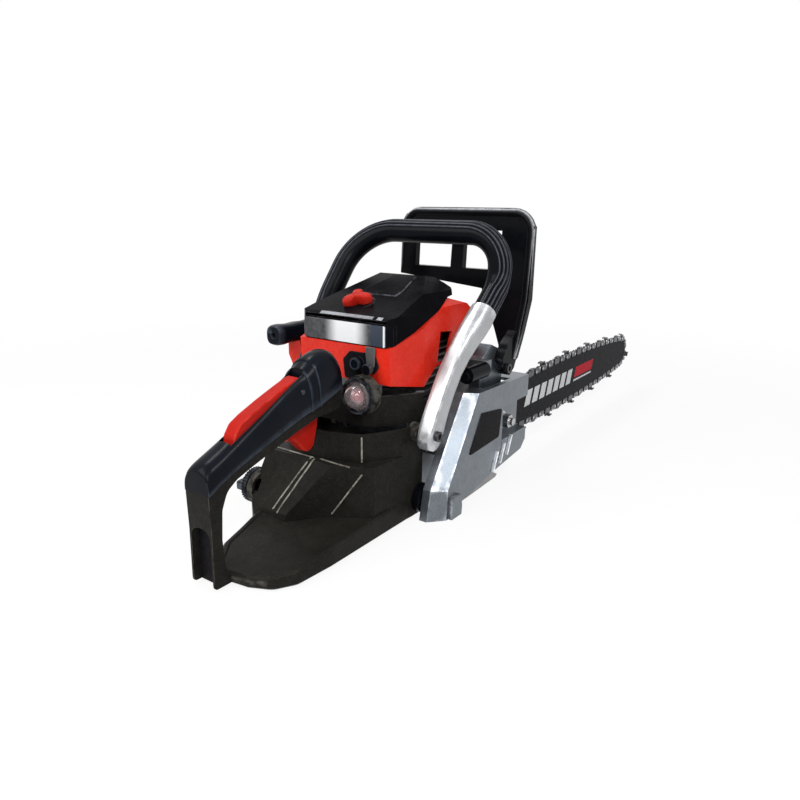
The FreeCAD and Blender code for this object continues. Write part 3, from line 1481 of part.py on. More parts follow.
def rear_grip():
    wall = 3.6
    side_wall = 6.5
    outline = grip_side()
    body = prism(outline, "y", -grip_half_width, grip_half_width)
    rounded = rounded_bar(outline, grip_half_width)
    body = body.common(rounded)
    inner_half = grip_half_width - side_wall
    inner = prism([(x, z - wall) for x, z in outline], "y", -inner_half, inner_half)
    for step in (-wall, wall):
        inner = inner.common(prism([(x + step, z - wall) for x, z in outline], "y", -inner_half, inner_half))
    body = body.cut(inner)
    slot = box(lock_slot_low_x, lock_slot_high_x, -lock_half - rest_gap, lock_half + rest_gap, split_low[1],
               2 * grip_top_z)
    body = body.cut(slot)
    pin_hole = rod(pin_radius + seat_gap, (lock_pin[0], -lock_pin_reach - rest_gap, lock_pin[1]),
                   (lock_pin[0], lock_pin_reach + rest_gap, lock_pin[1]))
    body = body.cut(pin_hole)
    block, shoulder, wall_shape, boss = tank_shapes()
    for piece in (shoulder, wall_shape, boss):
        body = body.cut(piece)
    pieces = sorted(body.Solids, key=lambda piece: piece.Volume)
    return pieces[-1]


lock_slot_low_x = lock_low[0] - overrun
lock_slot_high_x = -162.0


def rounded_bar(outline, half):
    """The same outline as a bar whose upper edges are cut off in two flats on each side."""
    cut = half * 0.45
    inner = prism(outline, "y", -half + cut, half - cut)
    middle = prism([(x, z - cut * 0.3) for x, z in outline], "y", -half + cut * 0.4, half - cut * 0.4)
    lower = prism([(x, z - cut) for x, z in outline], "y", -half, half)
    return join([inner, middle, lower])


def throttle_trigger():
    shares = [(1, 0.8), (0.92, 0.5), (0.8, 0.08), (0.65, 0), (0.5, 0.06), (0.27, 0.3), (0.05, 0.44), (0, 0.55),
              (0.3, 0.82), (0.7, 1), (0.95, 1)]
    outline = spread(shares, trigger_low, trigger_high)
    body = prism(outline, "y", -trigger_half, trigger_half)
    return body.cut(rod(pin_radius + run_gap, (trigger_pin[0], -trigger_half - overrun, trigger_pin[1]),
                        (trigger_pin[0], trigger_half + overrun, trigger_pin[1])))


def throttle_lock():
    shares = [(0, 0.02), (0.02, 0.26), (0.08, 0.46), (0.18, 0.585), (0.48, 0.78), (0.7, 0.9), (0.95, 1),
              (1, 0.9), (1, 0.75), (0.95, 0.64), (0.6, 0.43), (0.3, 0.17), (0.03, 0)]
    outline = spread(shares, lock_low, lock_high)
    body = prism(outline, "y", -lock_half, lock_half)
    return body.cut(rod(pin_radius + run_gap, (lock_pin[0], -lock_half - overrun, lock_pin[1]),
                        (lock_pin[0], lock_half + overrun, lock_pin[1])))


wing_half = 2.5


def cap_shape(x, z, neck_y, radius, neck_radius):
    """A screw cap on the left side with a plug, a disc and a wing to turn it."""
    plug_depth = 5.0
    disc = 6.0
    wing = 10.0
    seat = neck_y + gasket_height + 2 * seat_gap
    body = join([
        rod(neck_radius - run_gap, (x, neck_y - plug_depth, z), (x, seat, z)),
        rod(radius, (x, seat, z), (x, seat + disc, z)),
        box(x - wing_half, x + wing_half, seat + disc, seat + disc + wing, z - radius * 0.75, z + radius * 0.75),
    ])
    return body


gasket_height = 1.6
gasket_wall = 3.0


def gasket(x, z, neck_y, radius, neck_radius):
    start = neck_y + seat_gap
    return ring(radius, neck_radius + seat_gap, (x, start, z), (x, start + gasket_height, z))


def fuel_cap():
    return cap_shape(fuel_cap_x, fuel_cap_z, fuel_neck_y, cap_radius, cap_neck_radius)


def fuel_cap_gasket():
    return gasket(fuel_cap_x, fuel_cap_z, fuel_neck_y, cap_neck_radius + gasket_wall, cap_neck_radius)


def oil_cap():
    return cap_shape(oil_cap_x, oil_cap_z, oil_neck_y, oil_cap_radius, oil_neck_radius)


def oil_cap_gasket():
    return gasket(oil_cap_x, oil_cap_z, oil_neck_y, oil_neck_radius + gasket_wall, oil_neck_radius)


def primer_bulb():
    base = 2.5
    dome_x = bulb_x - base
    dome = Part.makeSphere(bulb_radius, Vec(dome_x, bulb_y, bulb_z))
    keep = box(dome_x - 2 * bulb_radius, dome_x, bulb_y - 2 * bulb_radius, bulb_y + 2 * bulb_radius,
               bulb_z - 2 * bulb_radius, bulb_z + 2 * bulb_radius)
    flange = rod(bulb_radius * 1.4, (dome_x, bulb_y, bulb_z), (bulb_x - rest_gap, bulb_y, bulb_z))
    return join([dome.common(keep), flange])


choke_y = -15.0
choke_z = 148.0
choke_radius = 6.5
choke_rod_radius = 2.5


def choke_knob():
    knob_gap = 1.5
    knob_length = 9.0
    knob_front = shroud_rear_x - knob_gap
    knob_rear = knob_front - knob_length
    rod_end = carb_rear_x - 2 * choke_rod_radius
    knob = cone(choke_radius, choke_radius * 0.9, (knob_front, choke_y, choke_z), (knob_rear, choke_y, choke_z))
    shaft = rod(choke_rod_radius, (knob_front, choke_y, choke_z), (rod_end, choke_y, choke_z))
    return join([knob, shaft])


switch_pin = (-104.0, 122.6)
switch_y = 40.0


def stop_switch():
    half_x = 7.0
    half_y = 4.0
    rise = 5.0
    shares = [(-1, 0), (0, -0.45), (1, 0), (0.85, 1), (0, 0.7), (-0.85, 1)]
    outline = [(switch_pin[0] + u * half_x, switch_pin[1] + v * rise) for u, v in shares]
    rocker = prism(outline, "y", switch_y - half_y, switch_y + half_y)
    pin_reach = half_y + pin_radius / 2
    pin = rod(pin_radius * 0.9, (switch_pin[0], switch_y - pin_reach, switch_pin[1]),
              (switch_pin[0], switch_y + pin_reach, switch_pin[1]))
    return join([rocker, pin])


# Front handle, buffers and hand guard
handle_foot_step = 11.0
handle_low = (-88.0, handle_right_y, 78.0)
handle_high = (40.0, handle_left_y, handle_top_z)
handle_bends = [60.0, 90.0, 52.0, 36.0]


def handle_points():
    """From the lower left end up the left side, across the top and down to the arm on the right."""
    shares = [(0.2, 0.914, 0.261), (0.594, 1, 0.617), (0.945, 0.954, 1), (1, 0, 1), (0.859, 0, 0.622)]
    foot = (handle_low[0], tank_half_y + handle_foot_step, handle_low[2])
    size = [high - low for low, high in zip(handle_low, handle_high)]
    rest = [tuple(low + share * length for low, share, length in zip(handle_low, place, size)) for place in shares]
    return [foot] + rest


def on_first_run(distance):
    """A point on the straight lower end of the tube, or below it where the distance is negative."""
    points = handle_points()
    start = at(points[0])
    return start + (at(points[1]) - start).normalize() * distance


def front_handle():
    body = tube(handle_points(), handle_bends, handle_radius)
    return body


arm_rear_x = -88.0
arm_tip_x = 34.0
arm_bottom_z = 68.0
arm_tip_z = 192.0


def handle_arm():
    low = (arm_rear_x, arm_bottom_z)
    high = (arm_tip_x, arm_tip_z)
    shares = [(0.02, 0.13), (0.066, 0.05), (0.15, 0.02), (0.21, 0.06), (0.28, 0.18), (0.36, 0.29),
              (0.475, 0.53), (0.71, 0.675), (0.97, 0.82), (0.97, 0.9), (0.79, 0.97), (0.69, 0.89),
              (0.6, 0.75), (0.35, 0.53), (0.165, 0.355), (0.04, 0.235)]
    body = prism(spread(shares, low, high), "y", arm_front_y, arm_back_y)
    boss_length = 14.0
    buffer_boss = rod(buffer_neck_radius, (buffer_start_x - boss_length, buffer_y, buffer_z),
                      (buffer_start_x - rest_gap, buffer_y, buffer_z))
    room = box(low[0], high[0], arm_front_y, arm_back_y, low[1], high[1])
    body = join([body, buffer_boss.common(room)])
    tip = at(handle_points()[-1])
    heading = (tip - at(handle_points()[-2])).normalize()
    socket = rod(handle_radius + socket_wall, tip + heading * seat_gap, tip + heading * socket_depth)
    screw_hole = rod(lug_screw_radius + seat_gap, (arm_boss[0], arm_front_y - overrun, arm_boss[1]),
                     (arm_boss[0], arm_back_y + overrun, arm_boss[1]))
    return join([body, socket]).cut(screw_hole)


def av_buffers():
    barrel = 8.0
    neck_length = 5.0
    rear_right_y = -20.0
    rear_left_y = 24.0
    rear_z = 38.0
    cap_depth = 7.0
    barrel_x = buffer_start_x + neck_length
    lug_face_x = arm_low_x - case_wall - seat_gap
    top_neck = rod(buffer_neck_radius, (buffer_start_x, buffer_y, buffer_z), (barrel_x, buffer_y, buffer_z))
    top_body = rod(barrel, (barrel_x, buffer_y, buffer_z), (lug_face_x, buffer_y, buffer_z))
    cap_y = -plate_half_y - cap_depth
    side_cap = rod(buffer_cap_radius, (buffer_cap_x, cap_y, buffer_cap_z),
                   (buffer_cap_x, -plate_half_y - seat_gap, buffer_cap_z))
    start = tank_front_x + rest_gap
    end = case_rear_x - rest_gap
    rear_left = rod(barrel, (start, rear_left_y, rear_z), (end, rear_left_y, rear_z))
    rear_right = rod(barrel, (start, rear_right_y, rear_z), (end, rear_right_y, rear_z))
    return group([join([top_neck, top_body]), side_cap, rear_left, rear_right])


guard_right_y = -93.0
guard_left_y = 70.0
guard_plate_low_z = 131.0
window_y_shares = [(0.589, 0.871), (0.227, 0.497)]
window_z_shares = (0.5855, 0.8487)
ear_rear_x = 43.0
ear_front_x = 84.0
ear_top_z = 160.0


def hand_guard():
    low = (guard_right_y, guard_plate_low_z)
    high = (guard_left_y, guard_top_z)
    width = high[0] - low[0]
    height = high[1] - low[1]
    tilt_low_x = 70.0
    tilt_high_x = 95.0
    window_low_z = low[1] + height * window_z_shares[0]
    window_high_z = low[1] + height * window_z_shares[1]
    ear_low = (ear_rear_x, guard_low_z)
    ear_high = (ear_front_x, ear_top_z)
    shares = [(0.85, 1), (0.18, 1), (0.07, 0.95), (0.01, 0.88), (0, 0.4), (0.03, 0.12), (0.045, 0),
              (0.15, 0), (0.17, 0.08), (0.25, 0.26), (0.34, 0.455), (0.99, 0.52), (1, 0.9), (0.97, 0.95)]
    front = prism(spread(shares, low, high), "x", guard_pivot_x - guard_thickness, 3 * guard_pivot_x)
    band_shares = [(0, 0), (0.25, 0.18), (0.42, 0.4), (0.75, 1), (1, 1), (0.8, 0.4), (0.6, 0.18), (0.35, 0)]
    band = spread(band_shares, (tilt_low_x, low[1]), (tilt_high_x, guard_top_z))
    band = prism(band, "y", 2 * low[0], 2 * high[0])
    body = front.common(band)
    for start, end in window_y_shares:
        body = body.cut(box(guard_pivot_x, 2 * guard_pivot_x, low[0] + width * start, low[0] + width * end,
                            window_low_z, window_high_z))
    ear_inner_y = arm_outer_y - rest_gap
    ear_outer_y = ear_inner_y - 2 * guard_thickness
    ear_shares = [(0.32, 0.1), (0.52, 0), (0.75, 0.14), (0.87, 0.35), (1, 0.95), (0.8, 1), (0.35, 0.75),
                  (0.1, 0.45), (0.12, 0.25)]
    ear = prism(spread(ear_shares, ear_low, ear_high), "y", ear_outer_y, ear_inner_y)
    body = join([body, ear])
    return body.cut(rod(pivot_screw_radius + run_gap, (guard_pivot_x, ear_outer_y - overrun, guard_pivot_z),
                        (guard_pivot_x, ear_inner_y + overrun, guard_pivot_z)))


# Top covers
def three_view(side, plan, front):
    reach = 2 * filter_top_z
    body = prism(side, "y", -reach, reach).common(prism(plan, "z", 0, reach))
    return body.common(prism(front, "x", -reach, reach))


def open_shell(side, plan, front, wall):
    """A cover of one wall thickness, open underneath."""
    outer = three_view(side, plan, front)
    inner = three_view(shrink(side, wall), shrink(plan, wall), shrink(front, wall))
    lowered = inner.copy()
    lowered.translate(Vec(0, 0, -2 * wall))
    return outer.cut(inner).cut(lowered)


roof_rear_z = 163.0
vent_rear_x = -36.0
vent_front_x = -9.0
vent_low_z = 142.0
vent_high_z = 171.0
roof_hole_step = 6.0
roof_hole_front_x = -41.0
roof_hole_half = 41.0


def engine_cover():
    low = (shroud_rear_x, shroud_low_z)
    high = (shroud_front_x, shroud_top_z)
    side_shares = [(0.01, 0.15), (0, 0.555), (0.748, 0.99), (0.94, 0.9), (1, 0.8), (1, 0.28), (0.57, 0.28),
                   (0.44, 0.26), (0.31, 0.06)]
    plan_shares = [(0, 0.1), (0.31, 0.02), (0.53, 0), (1, 0.03), (1, 0.92), (0.57, 1), (0, 0.98)]
    front_shares = [(0, -0.1), (0.01, 0.64), (0.07, 0.91), (0.15, 1), (0.87, 1), (0.96, 0.89), (1, 0.52),
                    (1, -0.1)]
    side = spread(side_shares, low, high)
    plan = spread(plan_shares, (low[0], shroud_right_y), (high[0], shroud_left_y))
    front = spread(front_shares, (shroud_right_y, low[1]), (shroud_left_y, high[1]))
    body = open_shell(side, plan, front, shroud_wall)
    slot_shares = [(0, 0), (0.6, 0), (1, 0.93), (0.22, 1)]
    slot = spread(slot_shares, (vent_rear_x, vent_low_z), (vent_front_x, vent_high_z))
    body = body.cut(prism(slot, "y", 2 * shroud_right_y, shroud_right_y + 3 * shroud_wall))
    choke_hole = rod(choke_rod_radius + 2 * rest_gap, (shroud_rear_x - overrun, choke_y, choke_z),
                     (shroud_rear_x + 4 * shroud_wall, choke_y, choke_z))
    roof_hole = box(shroud_rear_x + roof_hole_step, roof_hole_front_x, -roof_hole_half, roof_hole_half,
                    roof_rear_z - shroud_wall, 2 * filter_top_z)
    return body.cut(choke_hole).cut(roof_hole)


def filter_cover():
    low = (shroud_rear_x, roof_rear_z)
    high = (filter_front_x, filter_top_z)
    side_shares = [(0, 0.008), (0, 0.46), (0.03, 0.5), (0.3, 0.66), (0.9, 1), (0.97, 0.97), (1, 0.72),
                   (0.82, 0.672)]
    plan_shares = [(0, 0.05), (0.32, 0), (0.82, 0.02), (0.97, 0.15), (1, 0.35), (1, 0.85), (0.85, 0.97), (0.3, 1),
                   (0, 0.98)]
    front_shares = [(0, 0), (0.02, 0.5), (0.12, 0.78), (0.36, 1), (0.88, 1), (0.96, 0.6), (1, 0)]
    side = spread(side_shares, low, high)
    side = [(x, z + rest_gap) for x, z in side]
    plan = spread(plan_shares, (low[0], filter_right_y), (high[0], filter_left_y))
    front = spread(front_shares, (filter_right_y, low[1]), (filter_left_y, high[1] + rest_gap))
    return open_shell(side, plan, front, shroud_wall)


filter_right_y = -52.0
filter_left_y = 60.0
knob_lean = 17.0
knob_share = 0.65094
knob_z = roof_rear_z + knob_share * (filter_top_z - roof_rear_z)


def filter_knob():
    disc = 5.0
    wing = 8.0
    wing_half_y = 3.0
    body = join([
        rod(knob_radius, (0, 0, 0), (0, 0, disc / 2)),
        cone(knob_radius, knob_radius * 0.85, (0, 0, disc / 2), (0, 0, disc)),
        box(-knob_radius * 0.95, knob_radius * 0.95, -wing_half_y, wing_half_y, disc / 2, disc + wing),
    ])
    body = body.common(Part.makeSphere(knob_radius * 1.12, Vec(0, 0, disc / 4)))
    body.rotate(Vec(0, 0, 0), Vec(0, 1, 0), -knob_lean)
    body.translate(Vec(knob_x, knob_y, knob_z))
    return body


def screws_and_pins():
    pieces = []
    head_depth = 3.0
    head_radius = lug_radius * 0.8
    for turn in lug_turns:
        spot = lug_spot(turn, lug_face_y + head_depth + seat_gap)
        length = lug_face_y - case_left_y - 2 * case_wall
        pieces.append(screw(head_radius, head_depth, lug_screw_radius, spot, (0, -1, 0), length))
    arm_head_y = arm_front_y - head_depth - seat_gap
    pieces.append(screw(head_radius, head_depth, lug_screw_radius, (arm_boss[0], arm_head_y, arm_boss[1]),
                        (0, 1, 0), -plate_half_y + tank_wall - arm_head_y - head_depth))
    guard_head_y = arm_outer_y - rest_gap - 2 * guard_thickness - head_depth - rest_gap
    pieces.append(screw(head_radius, head_depth, pivot_screw_radius, (guard_pivot_x, guard_head_y, guard_pivot_z),
                        (0, 1, 0), arm_inner_y - guard_head_y - head_depth))
    for pin, reach in ((trigger_pin, post_half_width - rest_gap), (lock_pin, lock_pin_reach)):
        pieces.append(rod(pin_radius, (pin[0], -reach, pin[1]), (pin[0], reach, pin[1])))
    return group(pieces)


def write(name, shape):
    if len(shape.Solids) == 1:
        shape = shape.Solids[0]
    shape.exportStep("parts/" + name + ".step")
    size = shape.BoundBox
    corners = (size.XMin, size.XMax, size.YMin, size.YMax, size.ZMin, size.ZMax)
    print(name, len(shape.Solids), shape.isValid(), round(shape.Volume), [round(value, 1) for value in corners])


def rod_and_pin():
    return group([connecting_rod(), crank_pin()])


pieces = {
    "crankshaft": crankshaft, "connecting_rod": rod_and_pin, "wrist_pin": wrist_pin, "piston": piston,
    "piston_rings": piston_rings, "crank_bearings": crank_bearings, "flywheel": flywheel,
    "flywheel_nut": flywheel_nut, "clutch_hub": clutch_hub, "clutch_shoes": clutch_shoes,
    "clutch_drum": clutch_drum, "drum_bearing": drum_bearing, "oil_worm": oil_worm, "oil_pump": oil_pump,
    "chain_cutters": chain_cutters, "chain_tie_straps": chain_tie_straps, "chain_drive_links": chain_drive_links,
    "guide_bar": guide_bar, "nose_sprocket": nose_sprocket, "crankcase_right": crankcase_right,
    "crankcase_left": crankcase_left, "cylinder": cylinder, "spark_plug": spark_plug,
    "ignition_lead": ignition_lead, "ignition_coil": ignition_coil, "intake_boot": intake_boot,
    "carburettor": carburettor, "air_filter": air_filter, "muffler": muffler,
    "starter_housing": starter_housing, "starter_pulley": starter_pulley, "recoil_spring": recoil_spring,
    "starter_rope": starter_rope, "starter_grip": starter_grip, "clutch_cover": clutch_cover,
    "bar_stud": bar_stud, "bar_nut": bar_nut, "bar_tensioner": bar_tensioner, "brake_band": brake_band,
    "chain_catcher": chain_catcher, "tank_housing": tank_housing, "rear_handle": rear_handle,
    "rear_grip": rear_grip, "throttle_trigger": throttle_trigger, "throttle_lock": throttle_lock,
    "fuel_cap": fuel_cap, "fuel_cap_gasket": fuel_cap_gasket, "oil_cap": oil_cap,
    "oil_cap_gasket": oil_cap_gasket, "primer_bulb": primer_bulb, "choke_knob": choke_knob,
    "stop_switch": stop_switch, "front_handle": front_handle, "handle_arm": handle_arm,
    "av_buffers": av_buffers, "hand_guard": hand_guard, "engine_cover": engine_cover,
    "filter_cover": filter_cover, "filter_knob": filter_knob, "screws_and_pins": screws_and_pins,
}
for name, make in pieces.items():
    write(name, make())
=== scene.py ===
import bpy
import bmesh
import math
from mathutils import Matrix, Vector


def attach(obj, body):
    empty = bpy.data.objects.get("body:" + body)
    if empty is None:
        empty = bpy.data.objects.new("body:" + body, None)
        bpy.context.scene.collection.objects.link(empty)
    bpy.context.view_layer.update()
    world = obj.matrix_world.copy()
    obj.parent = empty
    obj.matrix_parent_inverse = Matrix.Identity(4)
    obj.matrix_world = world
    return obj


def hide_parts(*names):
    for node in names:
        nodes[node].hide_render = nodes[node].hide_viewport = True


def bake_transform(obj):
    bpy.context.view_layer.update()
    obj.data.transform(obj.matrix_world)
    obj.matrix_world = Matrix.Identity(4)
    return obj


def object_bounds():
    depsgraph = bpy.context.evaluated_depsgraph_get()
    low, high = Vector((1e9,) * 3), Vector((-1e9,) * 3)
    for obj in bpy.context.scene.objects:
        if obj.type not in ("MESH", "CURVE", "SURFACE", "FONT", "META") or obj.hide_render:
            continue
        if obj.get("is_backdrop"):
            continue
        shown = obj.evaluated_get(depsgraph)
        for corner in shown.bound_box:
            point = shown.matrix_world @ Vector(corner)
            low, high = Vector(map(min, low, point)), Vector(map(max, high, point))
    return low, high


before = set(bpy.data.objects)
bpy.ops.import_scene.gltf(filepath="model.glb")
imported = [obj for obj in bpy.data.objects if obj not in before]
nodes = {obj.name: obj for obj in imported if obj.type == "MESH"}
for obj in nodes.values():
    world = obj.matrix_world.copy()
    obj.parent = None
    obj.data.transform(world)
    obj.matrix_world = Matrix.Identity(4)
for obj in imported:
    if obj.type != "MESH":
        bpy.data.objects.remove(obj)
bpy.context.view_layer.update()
scene = bpy.context.scene
scene.view_settings.view_transform = "Standard"
mm = 0.001
thinnest = 1e-4  # mm, smallest radius of a turned shape
print("frame loaded with", len(nodes), "nodes")


# helpers for node trees; an input is a value, a socket to link from, or None
def addNode(tree, kind, inputs=None, **settings):
    node = tree.nodes.new(kind)
    for key, value in settings.items():
        setattr(node, key, value)
    for key, value in (inputs or {}).items():
        if hasattr(value, "links"):
            tree.links.new(value, node.inputs[key])
        elif value is not None:
            node.inputs[key].default_value = value
    return node


def addMath(tree, operation, a, b=None, c=None, clamp=False):
    return addNode(tree, "ShaderNodeMath", {0: a, 1: b, 2: c}, operation=operation, use_clamp=clamp).outputs[0]


def times(tree, a, b, clamp=False):
    return addMath(tree, "MULTIPLY", a, b, clamp=clamp)


def inverse(tree, a):
    return addMath(tree, "SUBTRACT", 1.0, a)


def addVector(tree, operation, a, b=None, scale=None):
    node = addNode(tree, "ShaderNodeVectorMath", {0: a, 1: b, "Scale": scale}, operation=operation)
    return node.outputs["Value" if operation in ("DOT_PRODUCT", "LENGTH") else "Vector"]


# a and b are sockets or colours
def addMix(tree, factor, a, b):
    a, b = [value if hasattr(value, "links") else (*value, 1) for value in (a, b)]
    return addNode(tree, "ShaderNodeMix", {0: factor, 6: a, 7: b}, data_type="RGBA").outputs[2]


# 0 below low, 1 above high, smooth between them
def addRamp(tree, value, low, high):
    inputs = {"Value": value, "From Min": low, "From Max": high}
    return addNode(tree, "ShaderNodeMapRange", inputs, interpolation_type="SMOOTHSTEP").outputs[0]


def objectPoint(tree):
    return addNode(tree, "ShaderNodeTexCoord").outputs["Object"]


# x, y and z of a vector
def splitAxes(tree, vector):
    return addNode(tree, "ShaderNodeSeparateXYZ", {0: vector}).outputs


# a node group; inputs are the values they start with, outputs are names
def newGroup(name, inputs, outputs):
    group = bpy.data.node_groups.new(name, "ShaderNodeTree")
    for label, value in inputs.items():
        group.interface.new_socket(label, in_out="INPUT", socket_type="NodeSocketFloat").default_value = value
    for label in outputs:
        group.interface.new_socket(label, in_out="OUTPUT", socket_type="NodeSocketFloat")
    return group, addNode(group, "NodeGroupInput").outputs, addNode(group, "NodeGroupOutput").inputs


def newMaterial(name):
    material = bpy.data.materials.new(name)
    material.use_nodes = True
    return material, material.node_tree, material.node_tree.nodes["Principled BSDF"].inputs


def noiseOf(tree, scale, detail=3.0, rough=0.5, stretch=None):
    point = objectPoint(tree)
    if stretch:
        point = addNode(tree, "ShaderNodeMapping", {"Vector": point, "Scale": stretch}).outputs[0]
    inputs = {"Vector": point, "Scale": scale, "Detail": detail, "Roughness": rough}
    return addNode(tree, "ShaderNodeTexNoise", inputs).outputs["Fac"]


# effects that several finishes share
# worn or polished edges, from the edge attribute that each piece carries; on tube rib crests and the guard rim
# the same mask lays painted highlight lines
def makeEdgeWearAndHighlight():
    group, given, out = newGroup("edge wear", dict(Amount=0.5, Scale=120.0, Breaks=1.0), ["Mask"])
    edge = addNode(group, "ShaderNodeAttribute", attribute_name="edge").outputs["Fac"]
    whole = inverse(group, addRamp(group, noiseOf(group, given["Scale"], 4.0, 0.6), 0.35, 0.62))
    kept = inverse(group, times(group, whole, given["Breaks"]))
    mask = times(group, edge, kept)
    group.links.new(times(group, mask, given["Amount"], clamp=True), out["Mask"])
    return group


# fine moulded or cast grain; Height for a bump, Value for colour and roughness
def makeGrain():
    group, given, out = newGroup("grain", dict(Scale=900.0, Coarse=0.3), ["Height", "Value"])
    fine = noiseOf(group, given["Scale"], 2.0, 0.5)
    coarse = noiseOf(group, times(group, given["Scale"], 0.12), 3.0, 0.6)
    share = times(group, coarse, given["Coarse"])
    rest = times(group, fine, inverse(group, given["Coarse"]))
    total = addMath(group, "ADD", share, rest)
    group.links.new(total, out["Height"])
    group.links.new(addRamp(group, total, 0.3, 0.7), out["Value"])
    return group


# small specks scattered in a moulding
def makeFlecks():
    group, given, out = newGroup("flecks", dict(Scale=700.0, Amount=0.2), ["Mask"])
    inputs = {"Vector": objectPoint(group), "Scale": given["Scale"]}
    cells = addNode(group, "ShaderNodeTexVoronoi", inputs, feature="F1").outputs
    random = addNode(group, "ShaderNodeSeparateColor", {0: cells["Color"]}).outputs
    chosen = addMath(group, "LESS_THAN", random[0], given["Amount"])
    near = inverse(group, addRamp(group, cells["Distance"], 0.18, 0.42))
    bright = addMath(group, "MULTIPLY_ADD", random[1], 0.7, 0.3)
    group.links.new(times(group, times(group, chosen, near), bright), out["Mask"])
    return group


# thin handling marks in two directions
def makeScratches():
    group, given, out = newGroup("scratches", dict(Scale=60.0, Width=0.012), ["Mask"])
    masks = []
    for stretch in ((1, 1, 9), (7, 1, 1.6)):
        noise = noiseOf(group, given["Scale"], 1.0, 0.4, stretch)
        far = addMath(group, "ABSOLUTE", addMath(group, "SUBTRACT", noise, 0.5))
        masks.append(inverse(group, addRamp(group, far, 0.0, given["Width"])))
    patches = addRamp(group, noiseOf(group, 22.0, 2.0), 0.5, 0.66)
    group.links.new(times(group, addMath(group, "MAXIMUM", *masks), patches), out["Mask"])
    return group


# dust that lies on faces that look up
def makeDust():
    group, given, out = newGroup("dust", dict(Amount=0.2), ["Mask"])
    normal = splitAxes(group, addNode(group, "ShaderNodeNewGeometry").outputs["Normal"])
    patches = addRamp(group, noiseOf(group, 45.0, 6.0, 0.65), 0.42, 0.72)
    mask = times(group, addRamp(group, normal["Z"], 0.25, 0.95), patches)
    group.links.new(times(group, mask, given["Amount"], clamp=True), out["Mask"])
    return group


effects = {"edge": makeEdgeWearAndHighlight(), "grain": makeGrain(), "flecks": makeFlecks(), "scratches": makeScratches(),
           "dust": makeDust()}


def useEffect(tree, name, **values):
    return addNode(tree, "ShaderNodeGroup", values, node_tree=effects[name]).outputs


